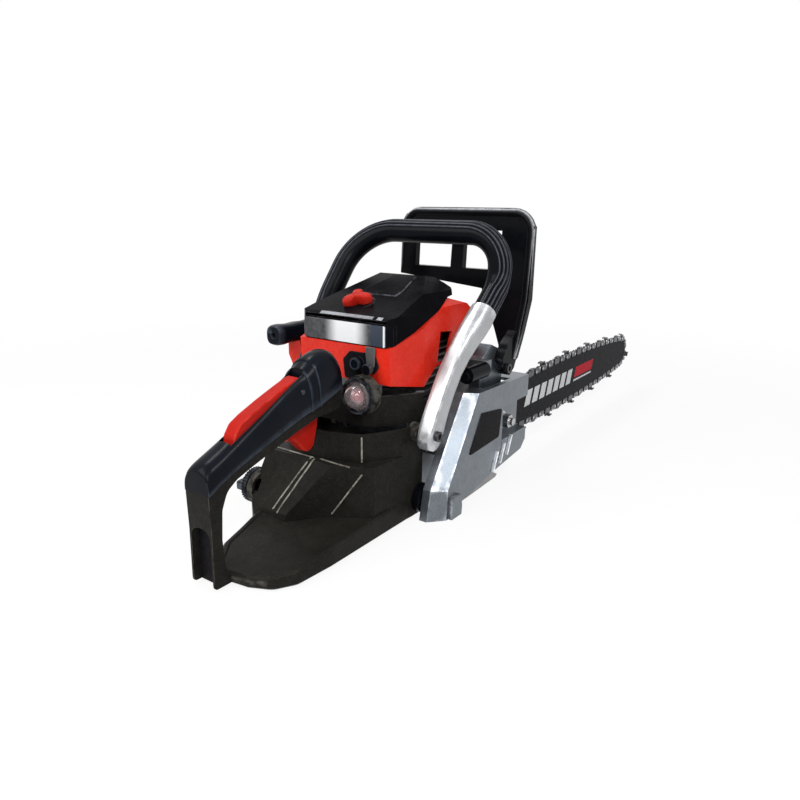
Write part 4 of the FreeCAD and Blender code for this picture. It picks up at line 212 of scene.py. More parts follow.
# what a user would change in each finish
finishDefaults = dict(rough=0.3, spec=0.5, metal=0, coat=0, wear=0.7, breaks=1, fade=0.18, grain=1500, bump=0.02,
                      dust=0, scratch=0.3)
finishLooks = {
    "coverRed": dict(colour=(0.66, 0.017, 0.007), deep=(0.54, 0.011, 0.004), worn=(0.8, 0.12, 0.07),
        rough=0.28, spec=0.16, wear=0.3, grain=1400, bump=0.03, dust=0.02, scratch=0.25),
    "leverRed": dict(colour=(0.42, 0.012, 0.007), deep=(0.32, 0.008, 0.004), worn=(0.62, 0.06, 0.04),
        rough=0.36, spec=0.06, wear=0.3, fade=0.06, grain=1100, bump=0.06),
    "glossBlack": dict(colour=(0.0034, 0.0036, 0.005), deep=(0.0024, 0.0026, 0.0036), worn=(0.085, 0.09, 0.1),
        rough=0.18, spec=0.05, fade=0.01, grain=1600, bump=0.012, scratch=0.4),
    # guard rim finish: its bright worn colour, laid on the rim's crest, is a painted highlight line
    "rimBlack": dict(colour=(0.0034, 0.0036, 0.005), deep=(0.0024, 0.0026, 0.0036), worn=(0.4, 0.41, 0.44),
        rough=0.18, spec=0.05, wear=1, breaks=0.3, fade=0.005, grain=1600, bump=0.012, scratch=0.4),
    "capBlack": dict(colour=(0.0036, 0.0042, 0.0062), deep=(0.0024, 0.0028, 0.0042), worn=(0.1, 0.115, 0.145),
        rough=0.22, spec=0.12, fade=0.01, grain=1600),
    "coverBlack": dict(colour=(0.0042, 0.0042, 0.0056), deep=(0.0028, 0.0028, 0.0038), worn=(0.1, 0.105, 0.12),
        rough=0.26, spec=0.01, wear=0.9, fade=0.01, grain=1600, dust=0.01, scratch=0.4),
    "satinBlack": dict(colour=(0.0042, 0.0058, 0.0095), deep=(0.0026, 0.0036, 0.006), worn=(0.06, 0.072, 0.095),
        rough=0.23, spec=0.07, wear=0.6, breaks=0.5, fade=0.01, bump=0.04),
    # rubber: on the front handle's outer rib crests its worn colour is wear and a painted highlight
    "rubberBlack": dict(colour=(0.0028, 0.0034, 0.0054), deep=(0.0018, 0.0022, 0.0034), worn=(0.085, 0.09, 0.108),
        rough=0.22, spec=0.055, wear=1, breaks=0.35, fade=0.01, grain=1700, bump=0.04, scratch=0.1),
    "tankDark": dict(colour=(0.0118, 0.0114, 0.01), deep=(0.0066, 0.0064, 0.0056), worn=(0.1, 0.095, 0.082),
        rough=0.32, spec=0.035, fade=0.1, grain=1300, bump=0.1, dust=0.01, scratch=0.5,
        flecks=(0.075, 0.07, 0.058, 1100, 0.25)),
    "silverPaint": dict(colour=(0.128, 0.147, 0.168), deep=(0.1, 0.116, 0.133), worn=(0.55, 0.57, 0.6),
        rough=0.33, metal=0.85, wear=0.8, grain=1200, bump=0.05, dust=0.02, flecks=(0.32, 0.35, 0.38, 2600, 0.3)),
    # the arm's silver: the same paint as silverPaint made lighter, a painted-lit copy standing for the light on
    # the arm's faces
    "armSilver": dict(colour=(0.4, 0.41, 0.425), deep=(0.32, 0.33, 0.345), worn=(0.7, 0.71, 0.73),
        rough=0.32, metal=0.8, grain=1200, bump=0.05, dust=0.01),
    "bareCast": dict(colour=(0.3, 0.3, 0.3), deep=(0.17, 0.17, 0.175), worn=(0.6, 0.6, 0.6),
        rough=0.5, metal=0.75, grain=800, bump=0.35, dust=0.06, scratch=0.2),
    "machinedSteel": dict(colour=(0.5, 0.5, 0.51), deep=(0.34, 0.34, 0.35), worn=(0.8, 0.8, 0.8),
        rough=0.28, metal=1, grain=1800, bump=0.05, dust=0.03, scratch=0.6),
    "darkSteel": dict(colour=(0.03, 0.03, 0.034), deep=(0.018, 0.018, 0.021), worn=(0.24, 0.24, 0.25),
        rough=0.36, metal=0.7, wear=0.8, bump=0.06, dust=0.02, scratch=0.5),
    "chainSteel": dict(colour=(0.05, 0.052, 0.06), deep=(0.022, 0.023, 0.028), worn=(0.42, 0.42, 0.44),
        metal=0.9, wear=0.9, bump=0.08, scratch=0.7),
    "mufflerSteel": dict(colour=(0.2, 0.188, 0.175), deep=(0.09, 0.077, 0.068), worn=(0.5, 0.47, 0.44),
        rough=0.48, metal=0.9, wear=0.6, grain=600, bump=0.12, dust=0.08),
    "feltCream": dict(colour=(0.6, 0.55, 0.42), deep=(0.44, 0.39, 0.28), worn=(0.7, 0.66, 0.55),
        rough=0.92, spec=0.3, wear=0.1, grain=2200, bump=0.6, dust=0.2, scratch=0),
    "ivoryPlastic": dict(colour=(0.64, 0.63, 0.58), deep=(0.52, 0.51, 0.46), worn=(0.8, 0.79, 0.76),
        rough=0.4, spec=0.4, coat=0.05, wear=0.3, grain=1300, bump=0.06, dust=0.1, scratch=0.2),
    "valvePink": dict(colour=(0.42, 0.11, 0.12), deep=(0.26, 0.06, 0.07), worn=(0.75, 0.45, 0.45),
        spec=0.4, wear=0.2, grain=1300, bump=0.05, scratch=0.2),
    "brightCast": dict(colour=(0.62, 0.63, 0.65), deep=(0.52, 0.53, 0.55), worn=(0.85, 0.86, 0.88),
        rough=0.32, metal=0.6, wear=0.6, grain=1300, bump=0.03, scratch=0.2),
    # pale grey for the strips on the filter cover's bevel: a painted highlight
    "stripGrey": dict(colour=(0.26, 0.27, 0.3), deep=(0.12, 0.125, 0.14), worn=(0.6, 0.6, 0.62),
        spec=0.2, wear=0.5),
    "tabGrey": dict(colour=(0.075, 0.072, 0.075), deep=(0.05, 0.048, 0.05), worn=(0.2, 0.2, 0.2),
        rough=0.35, spec=0.3, wear=0.4, bump=0.04),
    "panelBlack": dict(colour=(0.005, 0.005, 0.006), deep=(0.0035, 0.0035, 0.004), worn=(0.04, 0.04, 0.045),
        rough=0.28, spec=0.02, wear=0.6, grain=1700, dust=0.01, scratch=0.5),
    "barPaint": dict(colour=(0.006, 0.006, 0.008), deep=(0.004, 0.004, 0.005), worn=(0.16, 0.16, 0.17),
        rough=0.4, spec=0.012, wear=0.8, bump=0.05, scratch=0.8),
    # the band's finish; further down its colour gets a painted reflection and a painted highlight line
    "smokedBand": dict(colour=(0.022, 0.024, 0.029), deep=(0.014, 0.015, 0.019), worn=(0.5, 0.5, 0.52),
        rough=0.24, spec=0.12, metal=0.1, wear=0.3, grain=1600),
    # ridge finish, far lighter than tankDark: a painted highlight on the tank's raised lines
    "tankEdge": dict(colour=(0.1, 0.095, 0.082), deep=(0.05, 0.047, 0.04), worn=(0.34, 0.32, 0.27),
        rough=0.34, spec=0.3, coat=0.1, wear=0.8, grain=1300, bump=0.08, dust=0.03, scratch=0.4),
}
dustColour = (0.42, 0.39, 0.35)


# colour that varies, flecks, wear at edges, dust, scratches, and grain in roughness and bump
def makeFinish(name, look):
    look = {**finishDefaults, **look}
    material, tree, surface = newMaterial(name)
    grain = useEffect(tree, "grain", Scale=look["grain"], Coarse=0.35)
    clouds = addRamp(tree, noiseOf(tree, 28.0, 5.0, 0.6), 0.3, 0.72)
    colour = addMix(tree, clouds, look["deep"], look["colour"])
    colour = addMix(tree, times(tree, grain["Value"], look["fade"]), colour, look["worn"])
    if "flecks" in look:
        *fleckColour, scale, amount = look["flecks"]
        fleck = useEffect(tree, "flecks", Scale=scale, Amount=amount)["Mask"]
        colour = addMix(tree, times(tree, fleck, 0.55), colour, fleckColour)
    # edge wear, and painted highlight lines where a tube marks its crests
    edge = useEffect(tree, "edge", Amount=look["wear"], Scale=140.0, Breaks=look["breaks"])["Mask"]
    colour = addMix(tree, edge, colour, look["worn"])
    dust = useEffect(tree, "dust", Amount=look["dust"])["Mask"]
    tree.links.new(addMix(tree, dust, colour, dustColour), surface["Base Color"])
    marks = useEffect(tree, "scratches", Scale=55.0, Width=0.01)["Mask"]
    rough = addMath(tree, "MULTIPLY_ADD", grain["Value"], 0.10, look["rough"] - 0.05)
    rough = addMath(tree, "MULTIPLY_ADD", marks, 0.25 * look["scratch"], rough)
    tree.links.new(addMath(tree, "MULTIPLY_ADD", dust, 0.5, rough, clamp=True), surface["Roughness"])
    height = addMath(tree, "SUBTRACT", grain["Height"], times(tree, marks, 0.3 * look["scratch"]))
    bump = addNode(tree, "ShaderNodeBump", {"Strength": look["bump"], "Distance": 0.0004, "Height": height})
    tree.links.new(bump.outputs[0], surface["Normal"])
    settings = {"Metallic": look["metal"], "Specular IOR Level": look["spec"], "Coat Weight": look["coat"],
                "Coat Roughness": 0.12}
    for label, value in settings.items():
        surface[label].default_value = value
    return material


finishes = {name: makeFinish(name, look) for name, look in finishLooks.items()}
print("finishes made:", len(finishes))


# helpers for shapes
# a closed outline with its corners rounded by arcs; radius is one or one for each corner
def roundedOutline(points, radius, steps=6):
    result = []
    for place, corner in enumerate(points):
        size = radius[place] if isinstance(radius, (list, tuple)) else radius
        corner = Vector(corner)
        before = Vector(points[place - 1]) - corner
        after = Vector(points[(place + 1) % len(points)]) - corner
        half = before.angle(after) / 2
        reach = min(size / math.tan(half), before.length * 0.48, after.length * 0.48) if size else 0
        if reach < 1e-6:
            result.append(tuple(corner))
            continue
        first = corner + before.normalized() * reach
        last = corner + after.normalized() * reach
        for step in range(steps + 1):
            t = step / steps
            result.append(tuple(first * (1 - t) ** 2 + corner * 2 * t * (1 - t) + last * t ** 2))
    return result


# cosine and sine of equal turns round a circle
def roundOf(steps, shift=0.0):
    turns = [2 * math.pi * (n + shift) / steps for n in range(steps)]
    return [(math.cos(turn), math.sin(turn)) for turn in turns]


# makes a circle squarer; value is a cosine or a sine
def squarer(value, power):
    return math.copysign(abs(value) ** power, value)


# flat points stood up across an axis
def inAxis(points, axis, place):
    order = {"x": (2, 0, 1), "y": (0, 2, 1), "z": (0, 1, 2)}[axis]
    return [Vector([(a, b, place)[n] for n in order]) for a, b in points]


# a skin over rings that have as many points each
def loft(rings, caps=True):
    mesh = bmesh.new()
    rows = [[mesh.verts.new(point) for point in ring] for ring in rings]
    count = len(rows[0])
    for row, following in zip(rows, rows[1:]):
        for place in range(count):
            nextPlace = (place + 1) % count
            mesh.faces.new((row[place], row[nextPlace], following[nextPlace], following[place]))
    if caps:
        mesh.faces.new(rows[0])
        mesh.faces.new(rows[-1])
    bmesh.ops.recalc_face_normals(mesh, faces=mesh.faces)
    return mesh


# an outline given real thickness
def plate(points, axis, start, end):
    return loft([inAxis(points, axis, start), inAxis(points, axis, end)])


# turns (distance, radius) pairs round an axis; a ring is closed along its profile
def lathe(profile, origin, along, steps=32, ring=False):
    along = Vector(along).normalized()
    side = along.orthogonal().normalized()
    other = along.cross(side)
    rings = []
    for distance, radius in profile:
        centre, reach = Vector(origin) + along * distance, max(radius, thinnest)
        rings.append([centre + (side * a + other * b) * reach for a, b in roundOf(steps)])
    if not ring:
        return loft(rings)
    mesh = loft(rings + rings[:1], caps=False)
    bmesh.ops.remove_doubles(mesh, verts=mesh.verts, dist=thinnest)
    bmesh.ops.recalc_face_normals(mesh, faces=mesh.faces)
    return mesh


def joinMeshes(meshes):
    whole = bmesh.new()
    for mesh in meshes:
        part = bpy.data.meshes.new("part")
        mesh.to_mesh(part)
        mesh.free()
        whole.from_mesh(part)
        bpy.data.meshes.remove(part)
    return whole


def toObject(mesh, name, unit=mm):
    bmesh.ops.scale(mesh, vec=(unit,) * 3, verts=mesh.verts)
    data = bpy.data.meshes.new(name)
    mesh.to_mesh(data)
    mesh.free()
    piece = bpy.data.objects.new(name, data)
    scene.collection.objects.link(piece)
    return piece


# a merged copy of a CAD node's mesh, with flat faces made whole
def copyOf(node, name):
    mesh = bmesh.new()
    mesh.from_mesh(nodes[node].data)
    bmesh.ops.remove_doubles(mesh, verts=mesh.verts, dist=2e-6)
    bmesh.ops.dissolve_limit(mesh, angle_limit=math.radians(0.6), verts=mesh.verts, edges=mesh.edges)
    return toObject(mesh, name, 1.0)


# the edge attribute: 1 on the rounded corners between flat faces, 0 elsewhere
def markEdges(data):
    cornerBend, cornerArea = 0.24, 1.28e-4  # radians, square metres
    mesh = bmesh.new()
    mesh.from_mesh(data)
    values = []
    for vertex in mesh.verts:
        bend = max([edge.calc_face_angle_signed(0) for edge in vertex.link_edges], default=0)
        largest = max([face.calc_area() for face in vertex.link_faces], default=1)
        values.append(1.0 if bend > cornerBend and largest < cornerArea else 0.0)
    mesh.free()
    data.attributes.new("edge", "FLOAT", "POINT").data.foreach_set("value", values)


# the four corners of a box
def boxOf(left, right, low, high):
    return [(left, low), (right, low), (right, high), (left, high)]


# works a piece's modifiers into its mesh
def flatten(piece):
    flat = bpy.data.meshes.new_from_object(piece.evaluated_get(bpy.context.evaluated_depsgraph_get()))
    old = piece.data
    piece.modifiers.clear()
    piece.data = flat
    bpy.data.meshes.remove(old)
    flat.name = piece.name
    return flat


def dress(piece, body, replaces=()):
    if body:
        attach(piece, body)
    if replaces:
        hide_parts(*replaces)
    return piece


# bevels a piece, makes it a plain mesh, marks its edges and gives it its finish and body
def settle(piece, body, slot, finish, replaces=(), edges=0.0, segments=3, angle=28, sharp=40):
    if edges:
        bevel = piece.modifiers.new("edges", "BEVEL")
        bevel.width = edges * mm
        bevel.segments = segments
        bevel.limit_method = "ANGLE"
        bevel.angle_limit = math.radians(angle)
        bevel.use_clamp_overlap = True
        bevel.miter_outer = "MITER_ARC"
    for face in piece.data.polygons:
        face.use_smooth = True
    piece.data.set_sharp_from_angle(angle=math.radians(sharp))
    if edges:
        piece.modifiers.new("weights", "WEIGHTED_NORMAL").keep_sharp = True
    flat = flatten(piece)
    markEdges(flat)
    flat.materials.clear()
    flat.materials.append(finishes[finish])
    return dress(piece, body, replaces)


# a settled piece from a mesh in mm
def make(mesh, name, *how, **more):
    return settle(toObject(mesh, name), *how, **more)


# cuts a piece with a mesh in mm
def cutBy(piece, cutter):
    tool = toObject(cutter, "cutter")
    boolean = piece.modifiers.new("cut", "BOOLEAN")
    boolean.operation, boolean.solver, boolean.object = "DIFFERENCE", "EXACT", tool
    flatten(piece)
    bpy.data.objects.remove(tool)


# camera, light and floor
viewLook = dict(place=(-0.568049, -0.388373, 0.284487), yaw=0.611534258, pitch=0.278257148, roll=0.0109045061,
                lens=30.697, keyPower=13.0, frontPower=8.0, shoulderPower=5.0, rimPower=5.0, skyLevel=0.30)


def makeCamera():
    camera = bpy.data.objects.new("camera", bpy.data.cameras.new("camera"))
    scene.collection.objects.link(camera)
    yaw, pitch, roll = viewLook["yaw"], viewLook["pitch"], viewLook["roll"]
    ahead = Vector((math.cos(yaw) * math.cos(pitch), math.sin(yaw) * math.cos(pitch), -math.sin(pitch)))
    right = Vector((math.sin(yaw), -math.cos(yaw), 0))
    up = right.cross(ahead)
    tiltedRight = right * math.cos(roll) + up * math.sin(roll)
    tiltedUp = up * math.cos(roll) - right * math.sin(roll)
    turned = Matrix((tiltedRight, tiltedUp, -ahead)).transposed().to_4x4()
    camera.matrix_world = Matrix.Translation(viewLook["place"]) @ turned
    camera.data.sensor_width = 36
    camera.data.lens = viewLook["lens"]
    camera.data.clip_start = 0.01
    scene.camera = camera


def addLamp(name, place, target, size, power, colour=(1, 1, 1)):
    lamp = bpy.data.lights.new(name, "AREA")
    lamp.shape = "RECTANGLE"
    lamp.size, lamp.size_y = size
    lamp.energy = power
    lamp.color = colour
    holder = bpy.data.objects.new(name, lamp)
    scene.collection.objects.link(holder)
    holder.location = place
    holder.rotation_euler = (Vector(target) - Vector(place)).to_track_quat("-Z", "Y").to_euler()


# 1 for what the camera, metal and glass see, 0 for light that falls on the object
def whiteForRays(tree):
    path = addNode(tree, "ShaderNodeLightPath").outputs
    seen = addMath(tree, "MAXIMUM", path["Is Camera Ray"], path["Is Glossy Ray"])
    return addMath(tree, "MAXIMUM", seen, path["Is Transmission Ray"])


def makeStage():
    world = bpy.data.worlds.new("studio")
    scene.world = world
    world.use_nodes = True
    tree = world.node_tree
    background = tree.nodes["Background"]
    level = addMath(tree, "MULTIPLY_ADD", whiteForRays(tree), 1 - viewLook["skyLevel"], viewLook["skyLevel"])
    tree.links.new(level, background.inputs["Strength"])
    background.inputs["Color"].default_value = (1, 1, 1, 1)

    floor = toObject(plate(boxOf(-9000, 9000, -9000, 9000), "z", -20, -0.4), "floor")
    material, tree, surface = newMaterial("paleFloor")
    grain = useEffect(tree, "grain", Scale=60.0, Coarse=0.5)
    tree.links.new(addMix(tree, grain["Value"], (0.86, 0.86, 0.86), (0.88, 0.88, 0.88)), surface["Base Color"])
    surface["Roughness"].default_value = 0.9
    away = addRamp(tree, addVector(tree, "LENGTH", objectPoint(tree)), 0.35, 1.3)
    share = times(tree, whiteForRays(tree), addMath(tree, "MULTIPLY_ADD", away, 0.12, 0.88))
    glow = addNode(tree, "ShaderNodeEmission", {"Strength": 1.0}).outputs[0]
    mixed = addNode(tree, "ShaderNodeMixShader", {0: share, 1: tree.nodes["Principled BSDF"].outputs[0], 2: glow})
    tree.links.new(mixed.outputs[0], tree.nodes["Material Output"].inputs["Surface"])
    floor.data.materials.append(material)
    floor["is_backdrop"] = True

    addLamp("keyLight", (-1.05, 0.33, 1.0), (-0.02, 0, 0.12), (1.0, 0.9), viewLook["keyPower"],
            (1.0, 0.985, 0.96))
    addLamp("frontLight", (-0.95, -0.8, 0.9), (-0.02, 0, 0.1), (0.6, 0.5), viewLook["frontPower"],
            (0.97, 0.98, 1.0))
    addLamp("shoulderLight", (-0.2, -0.85, 1.25), (-0.1, 0, 0.12), (0.34, 0.2), viewLook["shoulderPower"])
    addLamp("rimLight", (-0.05, 0.6, 1.3), (0, 0, 0.15), (0.5, 0.25), viewLook["rimPower"])


makeCamera()
makeStage()
print("camera, light and floor ready")


# every CAD node gets a finish, also those that a piece stands for
nodeFinishes = {
    "machinedSteel": ["crankshaft", "connecting_rod", "wrist_pin", "piston_rings", "crank_bearings",
                      "flywheel_nut", "clutch_hub", "drum_bearing", "recoil_spring", "nose_sprocket",
                      "bar_stud", "bar_nut", "bar_tensioner"],
    "darkSteel": ["clutch_drum", "clutch_shoes", "brake_band", "screws_and_pins"],
    "chainSteel": ["chain_cutters", "chain_tie_straps", "chain_drive_links"],
    "mufflerSteel": ["muffler"],
    "bareCast": ["piston", "flywheel", "oil_pump", "cylinder", "carburettor", "chain_catcher"],
    "silverPaint": ["crankcase_right", "crankcase_left", "clutch_cover", "handle_arm"],
    "ivoryPlastic": ["oil_worm", "spark_plug", "starter_pulley", "starter_rope"],
    "rubberBlack": ["ignition_lead", "intake_boot", "fuel_cap_gasket", "oil_cap_gasket", "av_buffers",
                    "front_handle"],
    "glossBlack": ["ignition_coil", "fuel_cap", "oil_cap", "hand_guard", "filter_cover", "starter_grip",
                   "choke_knob"],
    "satinBlack": ["rear_grip"],
    "feltCream": ["air_filter"],
    "tankDark": ["tank_housing", "rear_handle"],
    "coverRed": ["starter_housing", "engine_cover"],
    "leverRed": ["throttle_trigger", "throttle_lock", "stop_switch", "filter_knob", "primer_bulb"],
    "barPaint": ["guide_bar"],
}


# a finish's tree, its colour socket and what is linked to that so far
def colourOf(finish):
    tree = finishes[finish].node_tree
    socket = tree.nodes["Principled BSDF"].inputs["Base Color"]
    return tree, socket, socket.links[0].from_socket


# a plain row of slanted white stripes, and a red panel with a thin white line under it, all a little worn; metres
barLook = dict(lean=0.35, pitch=0.021, share=0.72, row=(0.124, 0.273), panel=(0.279, 0.345),
               rowHeight=(0.0575, 0.0765), panelHeight=(0.0625, 0.0765), lineHeight=(0.0575, 0.0600),
               white=(0.62, 0.63, 0.64), red=(0.46, 0.02, 0.035))


def paintBar():
    look = barLook
    tree, socket, colour = colourOf("barPaint")
    axes = splitAxes(tree, objectPoint(tree))
    slanted = addMath(tree, "SUBTRACT", axes["X"], times(tree, axes["Z"], look["lean"]))

    def between(value, span):
        above, below = addMath(tree, "GREATER_THAN", value, span[0]), addMath(tree, "LESS_THAN", value, span[1])
        return times(tree, above, below)
    phase = addMath(tree, "FRACT", times(tree, slanted, 1 / look["pitch"]))
    row = times(tree, addMath(tree, "LESS_THAN", phase, look["share"]), between(slanted, look["row"]))
    worn = addRamp(tree, noiseOf(tree, 260.0, 4.0, 0.7), 0.28, 0.36)
    panel = between(slanted, look["panel"])
    for across, height, tone in ((row, "rowHeight", "white"), (panel, "panelHeight", "red"),
                                 (panel, "lineHeight", "white")):
        area = times(tree, across, between(axes["Z"], look[height]))
        colour = addMix(tree, times(tree, area, worn), colour, look[tone])
    tree.links.new(colour, socket)


# dark polished band with a painted reflection: pale in the middle as a bent mirror strip reflects, bluish grey
# towards one end, with a painted highlight line at that end; metres
bandReflectionLook = dict(middle=0.0015, fade=(0.009, 0.027), greyBelow=-0.0262, lineBelow=-0.0398,
                paleReflection=(0.70, 0.71, 0.73), grey=(0.038, 0.048, 0.068), line=(0.70, 0.72, 0.76))


def paintBandReflection():
    look = bandReflectionLook
    tree, socket, colour = colourOf("smokedBand")
    side = splitAxes(tree, objectPoint(tree))["Y"]
    across = addMath(tree, "ABSOLUTE", addMath(tree, "SUBTRACT", side, look["middle"]))
    # painted reflection: pale across the middle of the band
    colour = addMix(tree, inverse(tree, addRamp(tree, across, *look["fade"])), colour, look["paleReflection"])
    # painted reflection in bluish grey, then a painted highlight line, towards one end
    for tone in ("grey", "line"):
        colour = addMix(tree, addMath(tree, "LESS_THAN", side, look[tone + "Below"]), colour, look[tone])
    tree.links.new(colour, socket)


paintBar()
paintBandReflection()
for finish, names in nodeFinishes.items():
    for name in names:
        nodes[name].data.materials.clear()
        nodes[name].data.materials.append(finishes[finish])


bulbLook = dict(place=(-114.0, -25.0, 122.0), radius=11.0, wall=1.0)

# pieces that keep the CAD shape, with rounded corners
roundedPieces = [
    # node, piece, body, slot, finish, corner, segments
    ("tank_housing", "tankHousing", "frame", "tank_dark", "tankDark", 2.2, 3),
    ("engine_cover", "engineCover", "frame", "red_cover", "coverRed", 3.0, 4),
    ("starter_housing", "starterHousing", "frame", "red_cover", "coverRed", 1.2, 2),
    ("clutch_cover", "clutchCover", "frame", "silver_cast", "silverPaint", 1.2, 2),
    ("crankcase_right", "caseRight", "frame", "silver_cast", "silverPaint", 1.4, 2),
    ("crankcase_left", "caseLeft", "frame", "silver_cast", "silverPaint", 1.4, 2),
    ("hand_guard", "handGuard", "guard", "black_plastic", "glossBlack", 2.2, 3),
    ("muffler", "mufflerBox", "frame", "steel", "mufflerSteel", 2.0, 2),
    ("carburettor", "carburettorBody", "frame", "bare_cast", "bareCast", 1.0, 2),
    ("air_filter", "airFilter", "frame", "filter", "feltCream", 1.2, 2),
    ("ignition_coil", "ignitionCoil", "frame", "black_plastic", "glossBlack", 1.0, 2),
    ("chain_catcher", "chainCatcher", "frame", "bare_cast", "bareCast", 1.0, 2),
    ("stop_switch", "stopSwitch", "switch", "red_cover", "leverRed", 0.8, 2),
]
for node, piece, body, slot, finish, corner, segments in roundedPieces:
    shape = copyOf(node, piece)
    if node == "tank_housing":
        cutBy(shape, lathe([(-1, 14.3), (6.8, 14.3)], bulbLook["place"], (1, 0, 0), 48))
    settle(shape, body, slot, finish, (node,), corner, segments)
print("rounded pieces made:", len(roundedPieces))


# Geometry Nodes: a tree with named inputs
def newGeometryTree(name, **sockets):
    tree = bpy.data.node_groups.new(name, "GeometryNodeTree")
    for label, kind in {"Geometry": "Geometry", **sockets}.items():
        tree.interface.new_socket(label, in_out="INPUT", socket_type="NodeSocket" + kind)
    tree.interface.new_socket("Geometry", in_out="OUTPUT", socket_type="NodeSocketGeometry")
    return tree, addNode(tree, "NodeGroupInput").outputs, addNode(tree, "NodeGroupOutput").inputs


# the end of a tree: instances made real, and the finish on them
def endTree(tree, shape, given, out):
    real = addNode(tree, "GeometryNodeRealizeInstances", {0: shape})
    finish = addNode(tree, "GeometryNodeSetMaterial", {"Geometry": real.outputs[0], "Material": given["Finish"]})
    tree.links.new(finish.outputs[0], out["Geometry"])
    return tree


# makes a piece into the plain mesh that a tree gives
def runTree(piece, tree, **values):
    modifier = piece.modifiers.new("tree", "NODES")
    modifier.node_group = tree
    for item in tree.interface.items_tree:
        if item.item_type == "SOCKET" and item.in_out == "INPUT" and item.name in values:
            modifier[item.identifier] = values[item.name]
    flatten(piece)
    return piece


# a tube along a line, ribbed lengthwise on the side that faces away from a middle point
def makeTubeTree():
    tree, given, out = newGeometryTree("ribbedTube", Radius="Float", Height="Float", Ribs="Float",
                                       Middle="Vector", Step="Float", Thinness="Float", Finish="Material")
    line = addNode(tree, "GeometryNodeMeshToCurve", {"Mesh": given["Geometry"]})
    inputs = {"Curve": line.outputs[0], "Length": given["Step"]}
    even = addNode(tree, "GeometryNodeResampleCurve", inputs, mode="LENGTH")
    tangent = addNode(tree, "GeometryNodeInputTangent").outputs[0]
    spot = addNode(tree, "GeometryNodeInputPosition").outputs[0]
    outward = addVector(tree, "SUBTRACT", spot, given["Middle"])
    along = addVector(tree, "SCALE", tangent, scale=addVector(tree, "DOT_PRODUCT", outward, tangent))
    outward = addVector(tree, "NORMALIZE", addVector(tree, "SUBTRACT", outward, along))
    turned = addNode(tree, "GeometryNodeSetCurveNormal", {"Curve": even.outputs[0], "Normal": outward},
                     mode="FREE")
    circle = addNode(tree, "GeometryNodeCurvePrimitiveCircle", {"Resolution": 144, "Radius": 1.0}, mode="RADIUS")
    axes = splitAxes(tree, spot)
    wave = times(tree, addMath(tree, "ARCTAN2", axes["Y"], axes["X"]), given["Ribs"])
    wave = addMath(tree, "MULTIPLY_ADD", addMath(tree, "COSINE", wave), 0.5, 0.5)
    wave = addMath(tree, "POWER", wave, 0.7)
    # the outer rib crests are stored as the edge attribute, where the finish lays its worn colour: wear and a
    # painted highlight along the front handle's ribs, a painted highlight line on the guard rim
    mask = addRamp(tree, axes["X"], 0.02, 0.2)
    crest = times(tree, addMath(tree, "POWER", wave, given["Thinness"]), mask)
    inputs = {"Geometry": circle.outputs["Curve"], "Name": "edge", "Value": crest}
    marked = addNode(tree, "GeometryNodeStoreNamedAttribute", inputs, data_type="FLOAT", domain="POINT")
    rise = times(tree, times(tree, wave, mask), given["Height"])
    place = addVector(tree, "SCALE", spot, scale=addMath(tree, "ADD", rise, given["Radius"]))
    shaped = addNode(tree, "GeometryNodeSetPosition", {"Geometry": marked.outputs[0], "Position": place})
    inputs = {"Curve": turned.outputs[0], "Profile Curve": shaped.outputs[0], "Fill Caps": True}
    skin = addNode(tree, "GeometryNodeCurveToMesh", inputs)
    smooth = addNode(tree, "GeometryNodeSetShadeSmooth", {"Geometry": skin.outputs[0]})
    return endTree(tree, smooth.outputs[0], given, out)


# one small shape set on every point of a mesh, standing along the point's facing attribute
def makeScatterTree():
    tree, given, out = newGeometryTree("repeatedShape", Shape="Object", Finish="Material")
    facing = addNode(tree, "GeometryNodeInputNamedAttribute", {"Name": "facing"}, data_type="FLOAT_VECTOR")
    turn = addNode(tree, "FunctionNodeAlignRotationToVector", {"Vector": facing.outputs[0]}, axis="Z")
    shape = addNode(tree, "GeometryNodeObjectInfo", {"Object": given["Shape"]})
    inputs = {"Points": given["Geometry"], "Instance": shape.outputs["Geometry"], "Rotation": turn.outputs[0]}
    return endTree(tree, addNode(tree, "GeometryNodeInstanceOnPoints", inputs).outputs[0], given, out)


tubeTree = makeTubeTree()
scatterTree = makeScatterTree()


# the shape, a mesh in mm, at each (place, facing) in mm
def scatter(name, shape, spots, finish):
    stamp = toObject(shape, name + "Shape")
    points = bmesh.new()
    for place, _ in spots:
        points.verts.new(place)
    piece = toObject(points, name)
    facing = piece.data.attributes.new("facing", "FLOAT_VECTOR", "POINT")
    facing.data.foreach_set("vector", [number for _, direction in spots for number in direction])
    runTree(piece, scatterTree, Shape=stamp, Finish=finishes[finish])
    bpy.data.objects.remove(stamp)
    return piece


# spots on a circle across an axis, each facing outward
def spotsRound(centre, radius, count, axis):
    return [(Vector(centre) + way * radius, way) for way in inAxis(roundOf(count), axis, 0)]


# straight lines between (x, value) pairs
def valueAt(table, x):
    for (x0, v0), (x1, v1) in zip(table, table[1:]):
        if x <= x1:
            return v0 + (v1 - v0) * max(0.0, min(1.0, (x - x0) / (x1 - x0)))
    return table[-1][1]


# the same line with its corners cut twice
def smoothTable(table):
    for _ in range(2):
        cut = [table[0]]
        for (x0, v0), (x1, v1) in zip(table, table[1:]):
            cut += [(x0 * 0.75 + x1 * 0.25, v0 * 0.75 + v1 * 0.25),
                    (x0 * 0.25 + x1 * 0.75, v0 * 0.25 + v1 * 0.75)]
        table = cut + [table[-1]]
    return table


